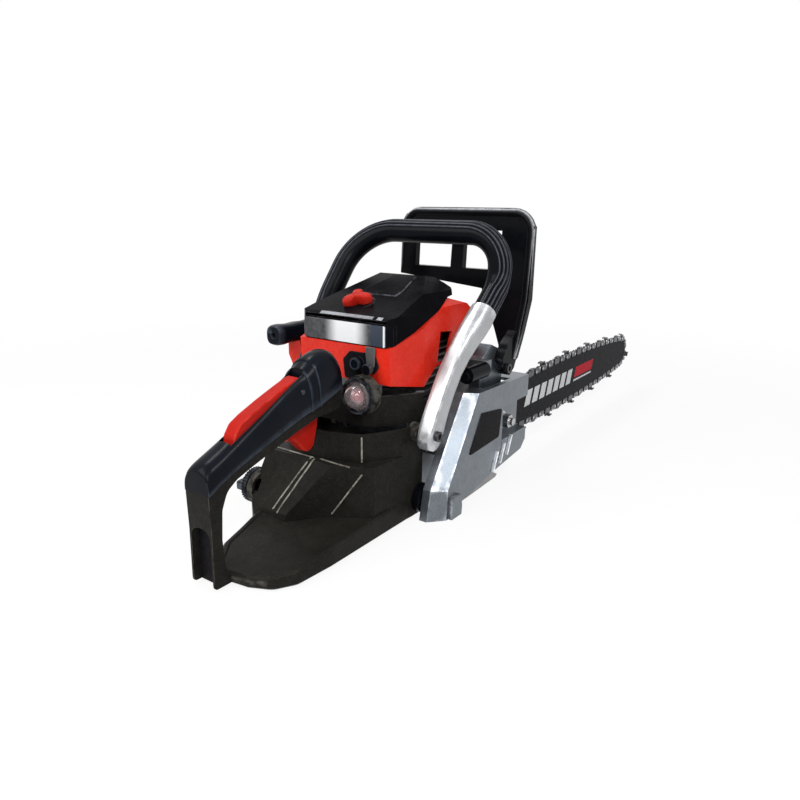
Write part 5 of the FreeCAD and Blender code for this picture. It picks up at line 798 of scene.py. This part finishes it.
# cuts a piece at a plane; what lies beyond it goes and the cut is closed, if so asked
def splitBy(piece, point, normal, clip=True):
    mesh = bmesh.new()
    mesh.from_mesh(piece.data)
    everything = mesh.verts[:] + mesh.edges[:] + mesh.faces[:]
    cut = bmesh.ops.bisect_plane(mesh, geom=everything, dist=1e-7, plane_co=point, plane_no=normal,
                                 clear_outer=clip)
    if clip:
        rim = [item for item in cut["geom_cut"] if isinstance(item, bmesh.types.BMEdge)]
        bmesh.ops.edgenet_fill(mesh, edges=rim)
    mesh.to_mesh(piece.data)
    mesh.free()


# a thin round rib along a few points
def ridge(points, radius, sides=8):
    rings = []
    for place, point in enumerate(points):
        before = Vector(points[max(place - 1, 0)])
        after = Vector(points[min(place + 1, len(points) - 1)])
        along = (after - before).normalized()
        side = along.orthogonal().normalized() if not rings else (side - along * side.dot(along)).normalized()
        other = along.cross(side)
        rings.append([Vector(point) + (side * a + other * b) * radius for a, b in roundOf(sides)])
    return loft(rings)


rearEnd = -273.9  # mm, the rear face of the handle

# rear grip: an arched shell along the handle, with a long slot for the lock and a collar in front of it
gripLook = dict(slotHalf=7.3, slotRear=-245.5, slotFront=-165.2, collars=((-164.4, 1.0), (-155.6, 1.0)),
                collarRise=1.1, length=149.3, steps=64, arc=30)
gripTop = smoothTable([(rearEnd, 95.0), (-272.0, 98.6), (-266, 101.8), (-259, 104.6), (-243, 112), (-218, 124.4),
                       (-204, 131.6), (-189, 139.8), (-172.7, 148.0), (-165, 151.6), (-159, 155.6), (-153, 160.4),
                       (-144, 163.8), (-135, 164.9), (-128.5, 162.6), (-124.6, 156)])
gripLow = smoothTable([(rearEnd, 78.5), (-262, 85.5), (-241, 93.6), (-200, 106.6), (-165, 118.4),
                       (-124.6, 131.4)])
gripHalf = smoothTable([(rearEnd, 13.4), (-271.5, 14.4), (-262, 14.6), (-240, 13.9), (-200, 13.8), (-172, 14.8),
                        (-164, 16.6), (-157, 17.9), (-135, 17.9), (-128, 17.2), (-124.6, 15.5)])


def makeGripShell():
    look = gripLook
    places = [rearEnd + look["length"] * n / look["steps"] for n in range(look["steps"] + 1)]
    for middle, half in look["collars"]:
        places += [middle - half, middle - half * 0.7, middle + half * 0.7, middle + half]
    rings = []
    for x in sorted(places + [-273.2, -272.4, -125.4]):
        rise = max([look["collarRise"] for middle, half in look["collars"] if abs(x - middle) < half * 0.8],
                   default=0)
        low, high, half = valueAt(gripLow, x), valueAt(gripTop, x) + rise, valueAt(gripHalf, x) + rise
        turns = [math.pi * n / look["arc"] for n in range(look["arc"] + 1)]
        rings.append([Vector((x, squarer(math.cos(turn), 0.86) * half,
                              low + (high - low) * math.sin(turn) ** 0.68))
                      for turn in turns])
    piece = toObject(loft(rings), "gripShell")
    slot = [(look["slotRear"], 88), (-226, 88), (-226, 99.4), (-197, 110.2), (look["slotFront"], 121.5),
            (look["slotFront"] + 3, 180), (look["slotRear"], 180)]
    cutBy(piece, plate(roundedOutline(slot, 2, 3), "y", -look["slotHalf"], look["slotHalf"]))
    cutBy(piece, plate([(-192, 100), (-138, 118), (-138, 146), (-160, 144), (-192, 128)], "y", -6.4, 6.4))
    settle(piece, "frame", "soft_black", "satinBlack", ("rear_grip",), 0.9, 2, 35)


makeGripShell()

# throttle lock and trigger, full rounded levers
leverLook = dict(lockHalf=6.6, lockCorner=3.4, triggerHalf=5.4, triggerCorner=2.4)
lockOutline = [(-241.6, 106), (-240.8, 114), (-235.0, 121.8), (-225, 127.0), (-206.6, 134.4), (-189, 140.8),
               (-173, 146.2), (-168.0, 147.2), (-167.2, 140), (-170, 134.2), (-197, 122), (-221, 111),
               (-238, 103.6)]
triggerOutline = [(-143.4, 112.5), (-146, 99), (-151, 82), (-157, 77.6), (-163.5, 80), (-173, 90), (-181.5, 96.4),
                  (-183.7, 101.5), (-171.7, 113), (-155.3, 120.8), (-145, 120.8)]


# name, node, body, outline and its rounding, then the half width, corner and segments of its edge
def makeLever(name, node, body, outline, radius, half, corner, segments):
    lever = plate(roundedOutline(outline, radius, 6), "y", -half, half)
    make(lever, name, body, "red_cover", "leverRed", (node,), corner, segments, 30)


makeLever("throttleLock", "throttle_lock", "lock", lockOutline, 9, leverLook["lockHalf"],
          leverLook["lockCorner"], 5)
makeLever("throttleTrigger", "throttle_trigger", "trigger", triggerOutline, 7, leverLook["triggerHalf"],
          leverLook["triggerCorner"], 4)

# lower rail and rear post in one moulding, with an arched recess, and the foot plate that the boot holds down
railLook = dict(half=13.0, corner=3.6, recessHalf=11.0, recessTop=50.0, recessDepth=7.5)
railOutline = [(rearEnd, 1.6), (-273.2, 48), (rearEnd, 79), (-262, 85.4), (-241, 93.6), (-200, 106.4),
               (-165, 118), (-126, 130.6), (-122.5, 124), (-124, 112), (-154, 109.9), (-180, 103.6),
               (-206.5, 95.8), (-232, 88.2), (-246, 83.4), (-256, 77), (-261.6, 64), (-263.4, 40), (-261.6, 16),
               (-256, 7), (-252, 5), (-252, 1.6)]


def makeRail():
    look = railLook
    corners = [4, 0, 2, 0, 0, 0, 0, 3, 4, 8, 20, 0, 20, 20, 14, 14, 12, 0, 8, 5, 2, 2]
    piece = toObject(plate(roundedOutline(railOutline, corners, 5), "y", -look["half"], look["half"]),
                     "handleRail")
    half, top = look["recessHalf"], look["recessTop"]
    floor = rearEnd + look["recessDepth"]
    cutBy(piece, plate(roundedOutline(boxOf(-half, half, -6, top), [0, 0, 10.5, 10.5], 8), "x", -290, floor))
    cutBy(piece, plate(boxOf(-207, -139, 60, 122), "y", -5.9, 5.9))
    settle(piece, "frame", "tank_dark", "tankDark", ("rear_handle",), look["corner"], 4, 32)
    # a near-black plate on the floor of the post's recess, darker than the moulding: painted shade in the recess
    recessShadeOutline = roundedOutline(boxOf(0.3 - half, half - 0.3, 2, top - 0.3), [0, 0, 10, 10], 8)
    make(plate(recessShadeOutline, "x", floor - 0.6, floor + 0.6), "postWeb", "frame", "tank_dark", "panelBlack", (), 0.2, 1, 40)


plateLook = dict(rim=5.0, sink=1.1, edge=2.2, top=[(-259, 10.5), (-142, 21.4), (-66, 24)],
                 corners=[6, 10, 16, 16, 30, 20, 3, 3, 12, 14, 14, 12, 12, 8])
plateOutline = [(-258.6, -9), (-256, -28), (-247, -47), (-229, -57.5), (-192, -60), (-84, -60), (-66, -56),
                (-66, 44), (-142, 49), (-174, 43), (-207, 32.6), (-231, 26), (-247, 14), (-256.5, 8)]


def makeFootPlate():
    look = plateLook
    outline = [Vector(point) for point in roundedOutline(plateOutline, look["corners"], 5)]
    middle = Vector((-160, -8))

    def ringAt(inset, height, low=None):
        ring = []
        for place, point in enumerate(outline):
            along = (outline[(place + 1) % len(outline)] - outline[place - 1]).normalized()
            inward = Vector((-along.y, along.x))
            spot = point + inward * math.copysign(inset, inward.dot(middle - point))
            top = valueAt(look["top"], spot.x)
            ring.append(Vector((spot.x, spot.y, top + height if low is None else low)))
        return ring
    rings = [ringAt(2.5, 0, 0.3), ringAt(0.6, 0, 2.2), ringAt(0, -4.0), ringAt(0.3, -1.6),
             ringAt(look["edge"], 0), ringAt(look["rim"], 0), ringAt(look["rim"] + 1.2, -look["sink"])]
    make(loft(rings), "footPlate", "frame", "tank_dark", "tankDark", ("rear_handle",), 0.5, 2, 20, sharp=50)


makeRail()
makeFootPlate()
print("rear handle ready")

# front handle: steel tube under ribbed rubber
handleLook = dict(
    points=[(-88, 66, 78), (-62.4, 80, 125), (-12, 95, 189), (33, 87, 258), (40, -79, 258), (38, -79, 211),
            (9, -79, 186)],
    bends=(60, 90, 52, 31, 30), radius=11.0, ribHeight=1.7, ribs=18.0, middle=(5, 5, 185), step=3.5, thinness=5.0)


# straight runs joined by arcs, as a line of points
def tubeLine(points, bends, step=0.07):
    line = [Vector(points[0])]
    for place in range(1, len(points) - 1):
        corner = Vector(points[place])
        toLast = (Vector(points[place - 1]) - corner).normalized()
        toNext = (Vector(points[place + 1]) - corner).normalized()
        half = toLast.angle(toNext) / 2
        reach = bends[place - 1] / math.tan(half)
        centre = corner + (toLast + toNext).normalized() * (bends[place - 1] / math.sin(half))
        first, last = corner + toLast * reach - centre, corner + toNext * reach - centre
        turn = first.angle(last)
        count = max(3, round(turn / step))
        for n in range(count + 1):
            t = n / count
            line.append(centre + (first * math.sin((1 - t) * turn) + last * math.sin(t * turn)) / math.sin(turn))
    return line + [Vector(points[-1])]


# a dressed tube along a bent line
def makeTube(name, look, body, finish, replaces=()):
    line = bmesh.new()
    row = [line.verts.new(point) for point in tubeLine(look["points"], look["bends"])]
    for first, last in zip(row, row[1:]):
        line.edges.new((first, last))
    piece = runTree(toObject(line, name), tubeTree, Radius=look["radius"] * mm, Height=look["ribHeight"] * mm,
                    Ribs=look["ribs"], Middle=[number * mm for number in look["middle"]], Step=look["step"] * mm,
                    Thinness=look["thinness"], Finish=finishes[finish])
    dress(piece, body, replaces)


makeTube("frontHandle", handleLook, "frame", "rubberBlack", ("front_handle",))
print("front handle ready")

# cast arm on the right: a round sleeve over the tube's end that runs down into a slim bar with a boss
armLook = dict(screw=(-76, -84.4, 86), arc=40)
armStations = [  # centre x, y, z, half width, half depth, squareness
    (11.4, -79, 188.1, 11.6, 11.6, 2.0), (10.6, -79, 187.4, 12.9, 12.9, 2.0), (2, -79, 180.0, 13.0, 12.8, 2.2),
    (-7, -78.6, 172.6, 12.2, 11.6, 2.8), (-18, -77.6, 163.2, 10.8, 9.8, 4.0), (-30, -76.6, 151.6, 10.0, 8.6, 5.5),
    (-42, -76, 138.6, 9.7, 8.2, 7), (-53, -76, 124, 9.6, 8, 8), (-62, -76, 110, 9.8, 8, 8),
    (-69, -76, 97.5, 10.6, 8, 8), (-74.0, -76, 87, 11.2, 8, 7), (-77.4, -76, 79.6, 10.2, 7.8, 6),
    (-79.4, -76, 75.0, 7.6, 7.2, 5), (-80.4, -76, 72.6, 4.0, 6.2, 4)]


def makeArm():
    look = armLook
    rings = []
    for place, (x, y, z, wide, deep, square) in enumerate(armStations):
        before, after = armStations[max(place - 1, 0)], armStations[min(place + 1, len(armStations) - 1)]
        along = Vector((after[0] - before[0], 0, after[2] - before[2])).normalized()
        across = Vector((along.z, 0, -along.x))
        ring = []
        for a, b in roundOf(look["arc"], 0.5):
            reach = (abs(a) ** square + abs(b) ** square) ** (-1 / square)
            ring.append(Vector((x, y, z)) + across * (a * reach * wide) + Vector((0, b * reach * deep, 0)))
        rings.append(ring)
    piece = toObject(loft(rings), "handleArm")
    cutBy(piece, lathe([(-6, 4.4), (4, 4.4)], look["screw"], (0, 1, 0), 24))
    # finished in the lighter, painted-lit copy of the silver paint
    settle(piece, "frame", "silver_cast", "armSilver", ("handle_arm",), 0.5, 2, 50, sharp=35)


makeArm()


# primer: a clear dome over a dark well, in a black ring on the tank's boss
def makeClearPlastic():
    material, tree, surface = newMaterial("clearBulb")
    tint = addRamp(tree, noiseOf(tree, 160.0, 3.0), 0.3, 0.7)
    tree.links.new(addMix(tree, tint, (0.80, 0.68, 0.70), (0.88, 0.80, 0.81)), surface["Base Color"])
    tree.links.new(addMath(tree, "MULTIPLY_ADD", noiseOf(tree, 900.0, 2.0), 0.05, 0.02), surface["Roughness"])
    surface["Transmission Weight"].default_value = 0.92
    surface["IOR"].default_value = 1.42
    return material


finishes["clearBulb"] = makeClearPlastic()


def makePrimer():
    look = bulbLook
    base, seat = [Vector(look["place"]) - Vector((back, 0, 0)) for back in (0.4, 0.2)]
    outer, inner = look["radius"], look["radius"] - look["wall"]
    dome = [(0, outer + 2.6), (1.0, outer + 2.8), (1.8, outer + 1.6), (2.2, outer)]
    for start, radius, turns in ((2.4, outer, range(6, 91, 7)), (2.0, inner, range(90, -1, -7))):
        dome += [(start + radius * math.sin(turn), radius * math.cos(turn)) for turn in map(math.radians, turns)]
    shell = lathe(dome + [(0.1, inner)], base, (-1, 0, 0), 48)
    make(shell, "primerDome", "primer", "bulb", "clearBulb", ("primer_bulb",), sharp=30)
    profile = [(0.2, 6.6), (1.2, 6.8), (1.6, 5.4), (3.4, 5.0), (4.2, 3.8), (6.6, 3.4), (7.2, 2.6), (7.4, 0)]
    stem = lathe(profile, base, (-1, 0, 0), 32)
    make(stem, "primerValve", "primer", "red_cover", "valvePink", sharp=30)
    profile = [(0, outer + 3.0), (0, 17.4), (2.6, 17.2), (3.8, 16.0), (4.0, outer + 3.9), (3.0, outer + 3.0)]
    rim = lathe(profile, seat, (-1, 0, 0), 48, ring=True)
    make(rim, "primerRing", "frame", "black_plastic", "glossBlack", (), 0.4, 2, 30)


makePrimer()
print("arm and primer ready")

# caps with a knurled rim and a wing
capLook = dict(ribs=36, ribRise=0.62)


# seat is the y of the disc's inner face
def makeCap(name, node, body, x, z, seat, radius, neckY):
    profile = [(0, radius - 2.4), (0.2, radius - 0.9), (1.0, radius - 0.5), (5.0, radius - 0.7),
               (6.0, radius - 1.9), (6.6, radius - 4.2), (6.9, radius * 0.45), (6.9, 0)]
    disc = lathe([(neckY - seat, radius - 4.5)] + profile, (x, seat, z), (0, 1, 0), 48)
    wide = radius * 0.74
    outline = [(x - wide, z - 4.2), (x, z - 5.0), (x + wide, z - 4.2), (x + wide, z + 4.2), (x, z + 5.0),
               (x - wide, z + 4.2)]
    wing = plate(roundedOutline(outline, 1.8, 3), "y", seat + 5.5, seat + 15.6)
    make(joinMeshes([disc, wing]), name, body, "black_plastic", "capBlack", (node,), 0.8, 3, 32)
    bar = plate(roundedOutline(boxOf(-0.5, 0.5, -2.0, 2.0), 0.2, 1), "z", -0.4, capLook["ribRise"])
    spots = spotsRound((x, seat + 3.0, z), radius - 0.75, capLook["ribs"], "y")
    dress(scatter(name + "Ribs", bar, spots, "capBlack"), body)


makeCap("fuelCap", "fuel_cap", "fuel_lid", -157.0, 30.0, 61.9, 17.0, 55.0)
makeCap("oilCap", "oil_cap", "oil_lid", 70.0, 31.0, 47.9, 14.5, 41.0)


# filter cover: the CAD shape with a smoked rear band, cut corners, a groove and a raised tongue on top
def makeFilterCover():
    piece = copyOf("filter_cover", "filterCover")
    for y, way in ((-40.5, -0.6), (51.0, 0.6)):
        splitBy(piece, Vector((-97, y, 175)) * mm, Vector((-0.8, way, 0)).normalized())
    groove = [(-99, 184.4), (-94.2, 184.9), (-94.2, 187.1), (-99, 186.9)]
    cutBy(piece, plate(groove, "y", -42.0, 52.0))
    settle(piece, "filter_lid", "black_plastic", "coverBlack", ("filter_cover",), 2.2, 4, 26)
    # the smoked rear band, its colour painted with a reflection and a highlight line
    outline = [(-41.4, 164.5), (52.5, 164.5), (52.5, 179), (51.6, 183.2), (-41.4, 183.2)]
    band = plate(roundedOutline(outline, [1, 2, 2, 1.5, 1], 3), "x", -98.0, -96.8)
    make(band, "filterBand", "filter_lid", "black_plastic", "smokedBand", (), 0.5, 2, 30)
    outline = [(-97.0, 164.7), (-97.0, 183.2), (-86.6, 183.2), (-86.6, 165.9)]
    piece = toObject(plate(roundedOutline(outline, 0.8, 2), "y", -0.5, 0.6), "filterCorner")
    there, back = [Matrix.Translation(Vector(spot) * mm) for spot in ((-97.0, -41.6, 0), (97.0, 0, 0))]
    piece.data.transform(there @ Matrix.Rotation(math.radians(-37), 4, "Z") @ back)
    settle(piece, "filter_lid", "black_plastic", "coverBlack", (), 0.4, 2, 30)
    # two thin pale strips on the cover's rear bevel: a painted highlight where the bevel catches the light
    outline = [(-93.2, 189.6), (-96.6, 187.7), (-96.9, 188.2), (-93.5, 190.1)]
    highlightStrips = [plate(outline, "y", low, high) for low, high in ((-27, 34), (-37.5, -31.5))]
    make(joinMeshes(highlightStrips), "coverStrip", "filter_lid", "black_plastic", "stripGrey", (), 0.15, 1, 30)
    tongue = []
    for x, low, high in ((-46, -18, 32), (-30, -17, 31), (0, -8, 27), (9, -5, 24)):
        top = 192.0 + (x + 80) * 0.262
        outline = [(low, top - 3), (low + 2.6, top + 1.9), (high - 2.6, top + 1.9), (high, top - 3)]
        tongue.append(inAxis(outline, "x", x))
    make(loft(tongue), "filterTongue", "filter_lid", "black_plastic", "coverBlack", (), 1.3, 3, 25)


# a low wing knob with three lobes; heights and the share of the full size that each has
knobLook = dict(place=(-67.5, 11, 196.2), lean=15, turned=35, core=5.8, reach=10.0,
                heights=(0, 0.5, 2.0, 5.2, 7.4, 8.8, 9.6, 9.9, 9.2),
                shares=(0.82, 0.93, 0.99, 1.0, 0.96, 0.87, 0.72, 0.45, 0.2))


def makeKnob():
    look = knobLook
    origin, lean = Vector(look["place"]), math.radians(look["lean"])
    rings = []
    for height, share in zip(look["heights"], look["shares"]):
        ring = []
        for n, (across, ahead) in enumerate(roundOf(72)):
            wave = math.cos(1.5 * (2 * math.pi * n / 72 - math.radians(look["turned"]))) ** 2
            lobe = look["core"] + look["reach"] * wave ** 1.1
            spot = Vector((across * lobe * share, ahead * lobe * share, height))
            spot.rotate(Matrix.Rotation(-lean, 3, "Y"))
            ring.append(origin + spot)
        rings.append(ring)
    make(loft(rings), "filterKnob", "filter_catch", "red_cover", "leverRed", ("filter_knob",), sharp=60)
    profile = [(-2.5, 16.2), (-0.4, 16.2), (0.3, 15.7), (0.3, 14.9), (-0.6, 14.4), (-2.5, 14.4)]
    seat = lathe(profile, origin, (-math.sin(lean), 0, math.cos(lean)), 48)
    make(seat, "knobSeat", "filter_lid", "black_plastic", "coverBlack", (), 0.3, 2, 30)


makeFilterCover()
makeKnob()
print("filter cover ready")


# bare black panel on the clutch cover
panelOutline = [(-2.5, 90.6), (40.4, 85.4), (36.2, 56), (-24.6, 53), (-21, 60)]
panel = plate(roundedOutline(panelOutline, [3, 3, 4, 3, 3], 4), "y", -89.9, -88.4)
make(panel, "coverPanel", "frame", "black_plastic", "panelBlack", (), 0.35, 2, 30)


# chain rivets, two to a strap on both sides; the chain runs at middle
chainLook = dict(middle=-64, rivetHalf=4.76)


def makeRivets():
    mesh = bmesh.new()
    mesh.from_mesh(nodes["chain_tie_straps"].data)
    bmesh.ops.remove_doubles(mesh, verts=mesh.verts, dist=2e-6)
    left = set(mesh.verts)
    spots = []
    while left:
        island, todo = [], [left.pop()]
        while todo:
            vertex = todo.pop()
            island.append(vertex.co / mm)
            for edge in vertex.link_edges:
                other = edge.other_vert(vertex)
                if other in left:
                    left.discard(other)
                    todo.append(other)
        centre = sum(island, Vector()) / len(island)
        flat = [Vector((point.x - centre.x, 0, point.z - centre.z)) for point in island]
        along = max(flat, key=lambda point: point.length).normalized() * chainLook["rivetHalf"]
        way = -1 if centre.y < chainLook["middle"] else 1
        face = max(point.y * way for point in island) * way
        spots += [(Vector((centre.x, face, centre.z)) + along * end, (0, way, 0)) for end in (-1, 1)]
    mesh.free()
    rivet = lathe([(-0.05, 1.7), (0.25, 1.65), (0.5, 1.1), (0.55, 0)], (0, 0, 0), (0, 0, 1), 8)
    dress(scatter("chainRivets", rivet, spots, "machinedSteel"), "frame")


makeRivets()
print("chain rivets ready")


# thin raised lines of the tank moulding, coloured much lighter than the tank: a painted highlight along them
def makeTankRidges():
    lines = [[(-142.5, 48, 66), (-142.5, 24.1, 66), (-142.6, 4.0, 66)],
             [(-144.6, 0.6, 66), (-148.9, 0.0, 64.8), (-152.1, 1.9, 59.7), (-158.2, 6.3, 50.1),
              (-164.7, 10.2, 39.8), (-170.7, 14.6, 30.3), (-176.5, 17.9, 20.9)],
             [(-144.6, 5.2, 66), (-150.6, 5.7, 62.1), (-157.8, 11.4, 50.6), (-163.9, 15.8, 41.0),
              (-170.0, 20.2, 31.4), (-175.5, 23.8, 22.7)],
             [(-141.4, -3.6, 66), (-141.9, -14.9, 66), (-142.2, -26.6, 66), (-141.4, -36.8, 65.8)],
             [(-135.8, -46.0, 59.3), (-138.7, -40.5, 50.6), (-143.0, -32.6, 37.7), (-146.9, -25.3, 25.7),
              (-148.8, -21.8, 20.6)],
             [(-128.2, -39.9, 67), (-128.2, -39.9, 90)]]
    proud = Vector((-0.3, -0.12, 0.2))
    ribs = [ridge([Vector(point) + proud for point in line], 0.8) for line in lines]
    make(joinMeshes(ribs), "tankRidges", "frame", "tank_dark", "tankEdge", sharp=70)


makeTankRidges()


# hand guard: the CAD plate with a thick rolled rim round its top and right side; the bright worn colour along the
# rim's outer crest, turned rearwards by the middle point, is a painted highlight line
guardLook = dict(
    points=[(86.6, 65, 216), (91, 65.2, 278), (91.3, -87.6, 278), (84.6, -88, 192), (80.5, -84.5, 160),
            (73, -81.8, 131)],
    bends=(17, 20, 60, 60), radius=5.0, ribHeight=0.0, ribs=1.0, middle=(150, 0, 215), step=5.0, thinness=70.0)
makeTube("guardRim", guardLook, "guard", "rimBlack")

# bright ribs low on the clutch cover
ribLook = dict(first=(22.5, 21.5), step=(15.0, 5.0), lean=9.0, rise=20.0, width=2.2)
ribs = []
for n in range(3):
    x, z = [ribLook["first"][axis] + n * ribLook["step"][axis] for axis in (0, 1)]
    top, high, wide = x + ribLook["lean"], z + ribLook["rise"], ribLook["width"]
    ribs.append(plate([(x, z), (x + wide, z), (top + wide, high), (top, high)], "y", -92.6, -88.6))
make(joinMeshes(ribs), "coverRibs", "frame", "silver_cast", "brightCast", (), 0.5, 2, 30)

# starter grip: a thick rounded bar with a dished end, as the hand holds it
gripBar = [(-71, 8.4), (-70.4, 9.5), (-68, 10.5), (-62, 10.9), (-50, 9.8), (-38, 10.4), (-26, 9.8), (-10, 10.9),
           (-3, 10.6), (-0.6, 9.6), (0, 8.6)]


def makeStarterGrip():
    x, y, z = -4, 118.4, 153.6
    rings = []
    for along, size in gripBar:
        rings.append([Vector((x + along, y + squarer(a, 0.7) * size * 0.98, z + squarer(b, 0.7) * size))
                      for a, b in roundOf(40)])
    piece = toObject(loft(rings), "starterGrip")
    cutBy(piece, lathe([(-6, 3.2), (6, 3.0)], (-75, y, z), (1, 0, 0), 24))
    settle(piece, "pull_grip", "black_plastic", "satinBlack", ("starter_grip",), 0.6, 2, 40)


makeStarterGrip()

# starter rope: wound on its pulley, with a cut across it where the end that a pull draws out leaves the housing
ropeLook = dict(exit=(-38, 117, 145.2), tip=(-38, 117.4, 146.3))


def makeStarterRope():
    exitPoint, tip = Vector(ropeLook["exit"]) * mm, Vector(ropeLook["tip"]) * mm
    piece = copyOf("starter_rope", "starterRope")
    splitBy(piece, exitPoint, tip - exitPoint, clip=False)
    settle(piece, None, "rope", "ivoryPlastic", ("starter_rope",), sharp=50)
    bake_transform(piece)


makeStarterRope()


# choke knob with a ribbed rim, its dark surround, and the grey tab above it
def makeChoke():
    surround = [(6.0, 149.0), (-2.0, 157.0), (-30.5, 157.5), (-35.0, 146.0), (-30.0, 139.0), (-17.5, 139.5),
                (-8.0, 131.5), (4.0, 131.5)]
    panelPiece = toObject(plate(roundedOutline(surround, 3.0, 4), "x", -97.7, -94.5), "chokeSurround")
    cutBy(panelPiece, lathe([(-6, 3.6), (6, 3.6)], (-97, -15, 148), (1, 0, 0), 24))
    settle(panelPiece, "frame", "black_plastic", "panelBlack", (), 0.6, 2, 30)
    profile = [(0, 2.4), (5.6, 2.4), (6.0, 5.2), (6.6, 6.1), (9.0, 6.4), (13.2, 6.2), (14.1, 5.4), (14.3, 4.4),
               (13.6, 3.8), (13.4, 0)]
    knob = lathe(profile, (-93.2, -15, 148), (-1, 0, 0), 36)
    make(knob, "chokeKnob", "choke", "black_plastic", "satinBlack", ("choke_knob",), 0.3, 2, 30)
    bar = plate(boxOf(-1.9, 1.9, -0.35, 0.35), "z", -0.3, 0.5)
    bmesh.ops.rotate(bar, cent=(0, 0, 0), matrix=Matrix.Rotation(math.radians(90), 3, "Z"), verts=bar.verts)
    spots = spotsRound((-104.2, -15, 148), 6.15, 20, "x")
    dress(scatter("chokeKnobRibs", bar, spots, "satinBlack"), "choke")
    profile = [(0, 3.2), (7.0, 3.2), (7.4, 5.2), (10.6, 5.4), (11.4, 4.6), (11.4, 0)]
    link = lathe(profile, (-94.5, -27.0, 144.2), (-1, 0, 0), 28)
    make(link, "chokePivot", "frame", "black_plastic", "glossBlack", (), 0.3, 2, 30)
    outline = [(-21.0, 163.4), (-32.0, 163.6), (-31.2, 146.6), (-27.2, 143.6), (-22.6, 147.4)]
    tab = plate(roundedOutline(outline, 1.5, 3), "x", -99.4, -97.9)
    make(tab, "chokeTab", "frame", "black_plastic", "tabGrey", (), 0.4, 2, 30)


makeChoke()
print("guard rim, starter grip and choke ready")

low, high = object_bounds()
